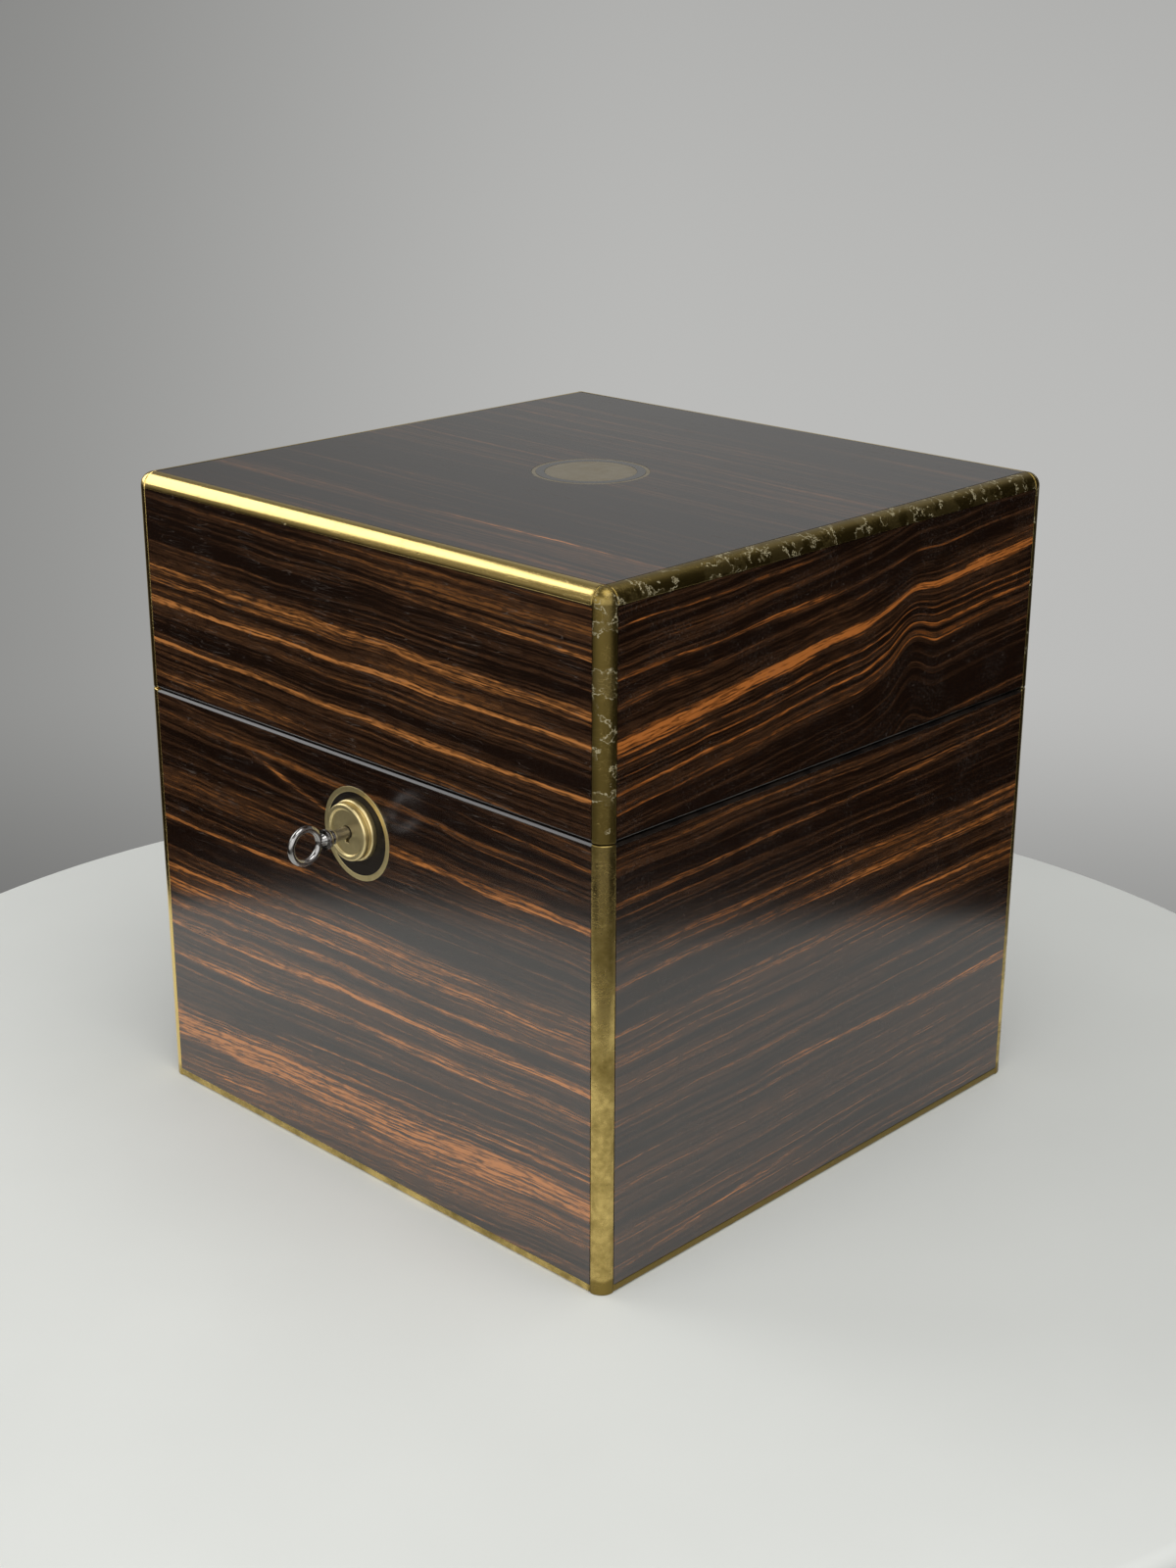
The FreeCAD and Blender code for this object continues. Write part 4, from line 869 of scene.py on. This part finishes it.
def screw_tree(material):
    """Geometry nodes that set a slotted countersunk screw at each point."""
    web, given, out = effect(
        "slotted_screws",
        {"Places": "Geometry", **floats("Head", "Shank", "Reach", "Slot", "Slot depth"),
         "Sides": "Int", "Seed": "Int", **floats("Downward")},
        {"Screws": "Geometry"}, "GeometryNodeTree")

    def cone(top, bottom, depth, drop):
        """A round length of the screw whose lower end lies a drop below the head's face."""
        mesh = web.node("GeometryNodeMeshCone", named={
            "Vertices": given["Sides"], "Radius Top": top, "Radius Bottom": bottom, "Depth": depth})
        lowered = web.point(0.0, 0.0, web.times(drop, -1.0))
        return web.node("GeometryNodeTransform", mesh.outputs["Mesh"],
                        named={"Translation": lowered}).outputs[0]

    sunk = web.minus(given["Head"], given["Shank"])
    head = cone(given["Head"], given["Shank"], sunk, sunk)
    stem = cone(given["Shank"], web.times(given["Shank"], POINT), web.minus(given["Reach"], sunk),
                given["Reach"])
    size = web.point(web.times(given["Head"], 3.0), given["Slot"], web.times(given["Slot depth"], 2.0))
    bar = web.node("GeometryNodeMeshCube", named={"Size": size}).outputs["Mesh"]
    slotted = web.node("GeometryNodeMeshBoolean", operation="DIFFERENCE", solver="EXACT",
                       named={"Mesh 1": head, "Mesh 2": bar})
    whole = web.node("GeometryNodeJoinGeometry")
    web.feed(whole.inputs[0], slotted.outputs["Mesh"])
    web.feed(whole.inputs[0], stem)
    # Each screw was driven round by up to half a turn.
    driven = web.node("FunctionNodeRandomValue", data_type="FLOAT",
                      named={"Seed": given["Seed"], 2: 0.0, 3: math.pi})
    turn = web.point(web.times(given["Downward"], math.pi), 0.0, driven.outputs[1])
    placed = web.node("GeometryNodeInstanceOnPoints", named={
        "Points": given["Places"], "Instance": whole.outputs[0], "Rotation": turn}).outputs[0]
    real = web.node("GeometryNodeRealizeInstances", placed).outputs[0]
    done = web.node("GeometryNodeSetMaterial", real, named={"Material": material}).outputs[0]
    web.feed(out["Screws"], done)
    return web.tree


def screw_set(tree, node, downward, material):
    """The screws of one node, at the middles of its solids' heads."""
    sizes = settings().screws
    low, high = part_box(node)
    level = low.z if downward else high.z
    shape = merged(node)
    heads = {}
    for vert in shape.verts:
        if abs(vert.co.z - level) < MERGE:
            spot = next((key for key in heads if (Vector(key) - vert.co).length < 3 * sizes.head), None)
            heads.setdefault(spot or tuple(vert.co), []).append(vert.co.copy())
    middles = [sum(ring, Vector()) / len(ring) for ring in heads.values()]
    shape.free()
    mesh = bpy.data.meshes.new(node + ".places")
    mesh.from_pydata(middles, [], [])
    item = linked(node + ".slotted", mesh)
    modifier = item.modifiers.new("screws", "NODES")
    modifier.node_group = tree
    for socket in tree.interface.items_tree:
        size = socket.name.lower().replace(" ", "_")
        if hasattr(sizes, size):
            modifier[socket.identifier] = getattr(sizes, size)
        elif socket.name == "Downward":
            modifier[socket.identifier] = 1.0 if downward else 0.0
    settled(item)
    item.data.shade_flat()
    return stand_in(item, material, node)


# Operators

class DECANTERBOX_OT_veneers(bpy.types.Operator):
    """Polish the nine leaves of striped veneer"""
    bl_idname = "decanter_box.veneers"
    bl_label = "Veneers"

    def execute(self, context):
        for node in LEAVES:
            recoat(veneer(node), node)
        return {"FINISHED"}


class DECANTERBOX_OT_boards(bpy.types.Operator):
    """Finish the carcass boards, the partitions and the black rims"""
    bl_idname = "decanter_box.boards"
    bl_label = "Boards and rims"

    def execute(self, context):
        look = settings().wood
        side = (0, 0, math.radians(90))
        bare = (look.carcass, look.carcass_line, 0.50, 0.65, 0.0)
        plain = plain_wood("carcass_wood", *bare)
        turned = plain_wood("carcass_wood_side", *bare, side)
        for box in ("base", "lid"):
            recoat(plain, f"{box}_front_board", f"{box}_back_board")
            recoat(turned, f"{box}_left_board", f"{box}_right_board")
        recoat(plain, "base_bottom_board", "lid_top_board")
        stained = (look.partition, look.partition_line, 0.32, 0.45, 0.3)
        eased_stand_ins(plain_wood("partition_wood", *stained), look.ease, "partition_long")
        eased_stand_ins(plain_wood("partition_wood_side", *stained, side), look.ease, "partition_cross")
        black = plain_wood("ebonised_wood", look.ebony, look.ebony_line, 0.14, 0.22, 0.6)
        sooty = plain_wood("sooted_wood", look.ebony, look.ebony_line, 0.34, 0.46, 0.15, gloss=0.08)
        recoat(sooty, "lock_ground")
        recoat(black, "plate_ground")
        eased_stand_ins(black, look.rim_ease, "base_rim_facings", "lid_rim_facings")
        return {"FINISHED"}


class DECANTERBOX_OT_edge_strips(bpy.types.Operator):
    """Bind the edges in brass"""
    bl_idname = "decanter_box.edge_strips"
    bl_label = "Edge strips"

    def execute(self, context):
        look = settings().brass
        # The edge strips' dulling includes painted shade on the right-hand strips.
        binding = metal_finish("edge_brass", look.bright, look.dull, strip_dulling, strip_flaking, 0.5,
                               0.17, 0.34)
        eased_stand_ins(binding, look.strip_ease, "lid_top_strips", "lid_corner_strips",
                        "base_corner_strips", "bottom_edge_strips")
        return {"FINISHED"}


class DECANTERBOX_OT_lid_plate(bpy.types.Operator):
    """Set the bare round plate and its ring in the lid"""
    bl_idname = "decanter_box.lid_plate"
    bl_label = "Lid plate"

    def execute(self, context):
        look = settings().brass
        plate = metal_finish("plate_brass", look.plate, look.plate_dull, 0.36, 0.0, 0.1, 0.36, 0.48)
        eased_stand_ins(plate, look.ease, "top_plate", "plate_ring")
        return {"FINISHED"}


class DECANTERBOX_OT_lock(bpy.types.Operator):
    """Fit the lock: ring, boss, selvedge, link plate and works"""
    bl_idname = "decanter_box.lock"
    bl_label = "Lock"

    def execute(self, context):
        ease = settings().brass.ease
        polished = lock_brass("lock_brass", 0.26, 0.0, 0.1, 0.36, 0.50)
        eased_stand_ins(polished, ease, "lock_boss", "lock_ring", "lock_selvedge", "link_plate")
        eased_stand_ins(lock_brass("plug_brass", 0.46, 0.0, 0.3, 0.22, 0.36), ease, "lock_plug")
        works = steel("lock_steel", 0.48, 0.24, 0.46)
        eased_stand_ins(works, settings().steel.ease, "lock_bolt", "lock_case", "lock_cap")
        return {"FINISHED"}


class DECANTERBOX_OT_key(bpy.types.Operator):
    """Put the polished steel key in the lock"""
    bl_idname = "decanter_box.key"
    bl_label = "Key"

    def execute(self, context):
        eased_stand_ins(steel("key_steel", shaft_dulling, 0.08, 0.36), settings().steel.ease, "key")
        return {"FINISHED"}


class DECANTERBOX_OT_hinges(bpy.types.Operator):
    """Fit the two stop hinges and their pins"""
    bl_idname = "decanter_box.hinges"
    bl_label = "Hinges"

    def execute(self, context):
        leaves = lock_brass("hinge_brass", 0.46, 0.10, 0.4, 0.22, 0.38)
        eased_stand_ins(leaves, settings().brass.ease, "hinge_base_leaves", "hinge_lid_leaves")
        eased_stand_ins(steel("pin_steel", 0.45, 0.20, 0.40), settings().steel.ease, "hinge_pins")
        return {"FINISHED"}


class DECANTERBOX_OT_screws(bpy.types.Operator):
    """Drive the slotted screws of the lock and the hinges"""
    bl_idname = "decanter_box.screws"
    bl_label = "Screws"

    def execute(self, context):
        material = steel("screw_steel", 0.42, 0.20, 0.42)
        tree = screw_tree(material)
        for node, downward in (("lock_screws", False), ("hinge_base_screws", False),
                               ("link_plate_screws", True), ("hinge_lid_screws", True)):
            screw_set(tree, node, downward, material)
        return {"FINISHED"}


class DECANTERBOX_OT_linings(bpy.types.Operator):
    """Line the box and the lid with velvet"""
    bl_idname = "decanter_box.linings"
    bl_label = "Linings"

    def execute(self, context):
        material = velvet()
        for node in ("base_floor_lining", "base_wall_linings", "lid_ceiling_lining", "lid_wall_linings"):
            velvet_cards(node, material)
        return {"FINISHED"}


class DECANTERBOX_OT_decanters(bpy.types.Operator):
    """Stand the stoppered decanters in their cells"""
    bl_idname = "decanter_box.decanters"
    bl_label = "Decanters"

    def execute(self, context):
        material = glass()
        ease = settings().glass.ease
        for corner in CORNERS:
            eased_stand_ins(material, ease, "decanter_" + corner, "stopper_" + corner)
        return {"FINISHED"}


class DECANTERBOX_OT_stage(bpy.types.Operator):
    """Set the floor, the soft lights, the backdrop and the camera"""
    bl_idname = "decanter_box.stage"
    bl_label = "Stage"

    def execute(self, context):
        sizes = settings().stage
        lay_floor(sizes)
        hang_lights()
        paint_backdrop(sizes)
        aim_camera(sizes)
        context.scene.view_settings.view_transform = "Standard"
        return {"FINISHED"}


def lay_floor(sizes):
    """A round pale slab whose top is the surface that the box stands on."""
    shape = bmesh.new()
    bmesh.ops.create_cone(shape, cap_ends=True, segments=160, radius1=sizes.floor_radius,
                          radius2=sizes.floor_radius, depth=sizes.floor_depth)
    bmesh.ops.translate(shape, vec=(0, -sizes.floor_forward, -sizes.floor_depth / 2), verts=shape.verts)
    rims = [edge for edge in shape.edges if abs(edge.verts[0].co.z - edge.verts[1].co.z) < MERGE]
    bmesh.ops.bevel(shape, geom=rims, offset=sizes.floor_edge, segments=5, profile=0.5, affect="EDGES")
    slab = linked("floor", meshed(shape, "floor"))
    slab.data.materials.append(pale_floor())


# Each light: where it hangs, its width and height, and its power in watts.
LIGHTS = {
    "window_light": ((-1.35, -0.50, 0.95), (1.2, 1.2), 9.5),
    "front_light": ((0.10, -1.55, 0.60), (2.0, 1.5), 10.6),
    "side_light": ((1.25, -0.70, 0.60), (1.8, 1.3), 8.5),
    "top_light": ((0.50, -0.10, 1.60), (1.2, 1.2), 12.0),
}
LIT_POINT = Vector((0, 0, 0.11))


def hang_lights():
    """Soft boxes that all face the middle of the box."""
    for name, (place, size, power) in LIGHTS.items():
        lamp = bpy.data.lights.new(name, "AREA")
        lamp.shape = "RECTANGLE"
        lamp.size, lamp.size_y = size
        lamp.energy = power
        item = linked(name, lamp)
        item.location = place
        item.rotation_euler = (LIT_POINT - Vector(place)).to_track_quat("-Z", "Y").to_euler()


def paint_backdrop(sizes):
    """A studio that is pale behind the box and dark where its polished sides look."""
    world = bpy.data.worlds.new("studio")
    bpy.context.scene.world = world
    web = cleared(world)
    heading = web.node("ShaderNodeTexCoord").outputs["Generated"]

    def facing(direction):
        """How far a ray heads in a direction, from -1 to 1."""
        return web.node("ShaderNodeVectorMath", heading, direction,
                        operation="DOT_PRODUCT").outputs["Value"]

    ahead = facing((math.cos(sizes.heading), math.sin(sizes.heading), 0.0))
    right = facing((math.sin(sizes.heading), -math.cos(sizes.heading), 0.0))
    wall = web.mix(web.span(right, -0.34, 0.05), rgba(sizes.wall_left), rgba(sizes.wall_right))
    round_about = web.mix(web.span(ahead, -0.2, 0.5), rgba(sizes.room), wall)
    path = web.node("ShaderNodeLightPath").outputs
    # The flags stand where only the polish sees them.
    aside = web.span(web.math("ABSOLUTE", right), 0.42, 0.74)
    unseen = web.minus(aside, path["Is Camera Ray"])
    up = facing((0.0, 0.0, 1.0))
    window = web.times(web.span(right, -0.42, -0.70), web.span(up, -0.22, 0.06))
    sides = web.mix(window, rgba(sizes.flag), rgba(sizes.glow))
    flagged = web.mix(web.most(unseen, 0.0), round_about, sides)
    dimmed = web.times(web.span(up, -0.40, -0.29, 0.62, 1.0), web.span(up, -0.24, 0.30, 1.0, 0.66))
    shown = web.mix(dimmed, BLACK, flagged)
    seen = web.most(path["Is Camera Ray"], path["Is Glossy Ray"], path["Is Transmission Ray"])
    level = (sizes.ambient, sizes.ambient, sizes.ambient, 1.0)
    light = web.node("ShaderNodeBackground", web.mix(seen, level, shown))
    web.node("ShaderNodeOutputWorld", light.outputs[0])


def aim_camera(sizes):
    """The camera at the photograph's angle."""
    lens = bpy.data.cameras.new("camera")
    lens.sensor_width = 36.0
    lens.lens = sizes.lens
    item = linked("camera", lens)
    look = Euler((math.pi / 2 - sizes.pitch, 0.0, sizes.heading - math.pi / 2)).to_matrix().to_4x4()
    item.matrix_world = Matrix.Translation(sizes.eye) @ look @ Matrix.Rotation(sizes.roll, 4, "Z")
    bpy.context.scene.camera = item


class DECANTERBOX_PT_panel(bpy.types.Panel):
    """Lists the steps that dress the box"""
    bl_idname = "DECANTERBOX_PT_panel"
    bl_label = "Decanter box"
    bl_space_type = "VIEW_3D"
    bl_region_type = "UI"
    bl_category = "Decanter box"

    def draw(self, context):
        for step in STEPS:
            self.layout.operator(step.bl_idname)


STEPS = (
    DECANTERBOX_OT_veneers, DECANTERBOX_OT_boards, DECANTERBOX_OT_edge_strips, DECANTERBOX_OT_lid_plate,
    DECANTERBOX_OT_lock, DECANTERBOX_OT_key, DECANTERBOX_OT_hinges, DECANTERBOX_OT_screws,
    DECANTERBOX_OT_linings, DECANTERBOX_OT_decanters, DECANTERBOX_OT_stage,
)
CLASSES = (
    VeneerLook, BrassLook, SteelLook, WoodLook, VelvetLook, GlassLook, ScrewSizes, StageSizes, DecanterBox,
    *STEPS, DECANTERBOX_PT_panel,
)


def register():
    for item in CLASSES:
        bpy.utils.register_class(item)
    bpy.types.Scene.decanter_box = PointerProperty(type=DecanterBox)


def unregister():
    del bpy.types.Scene.decanter_box
    for item in reversed(CLASSES):
        bpy.utils.unregister_class(item)


def main():
    register()
    for step in STEPS:
        family, name = step.bl_idname.split(".")
        getattr(getattr(bpy.ops, family), name)()


if __name__ == "__main__":
    main()
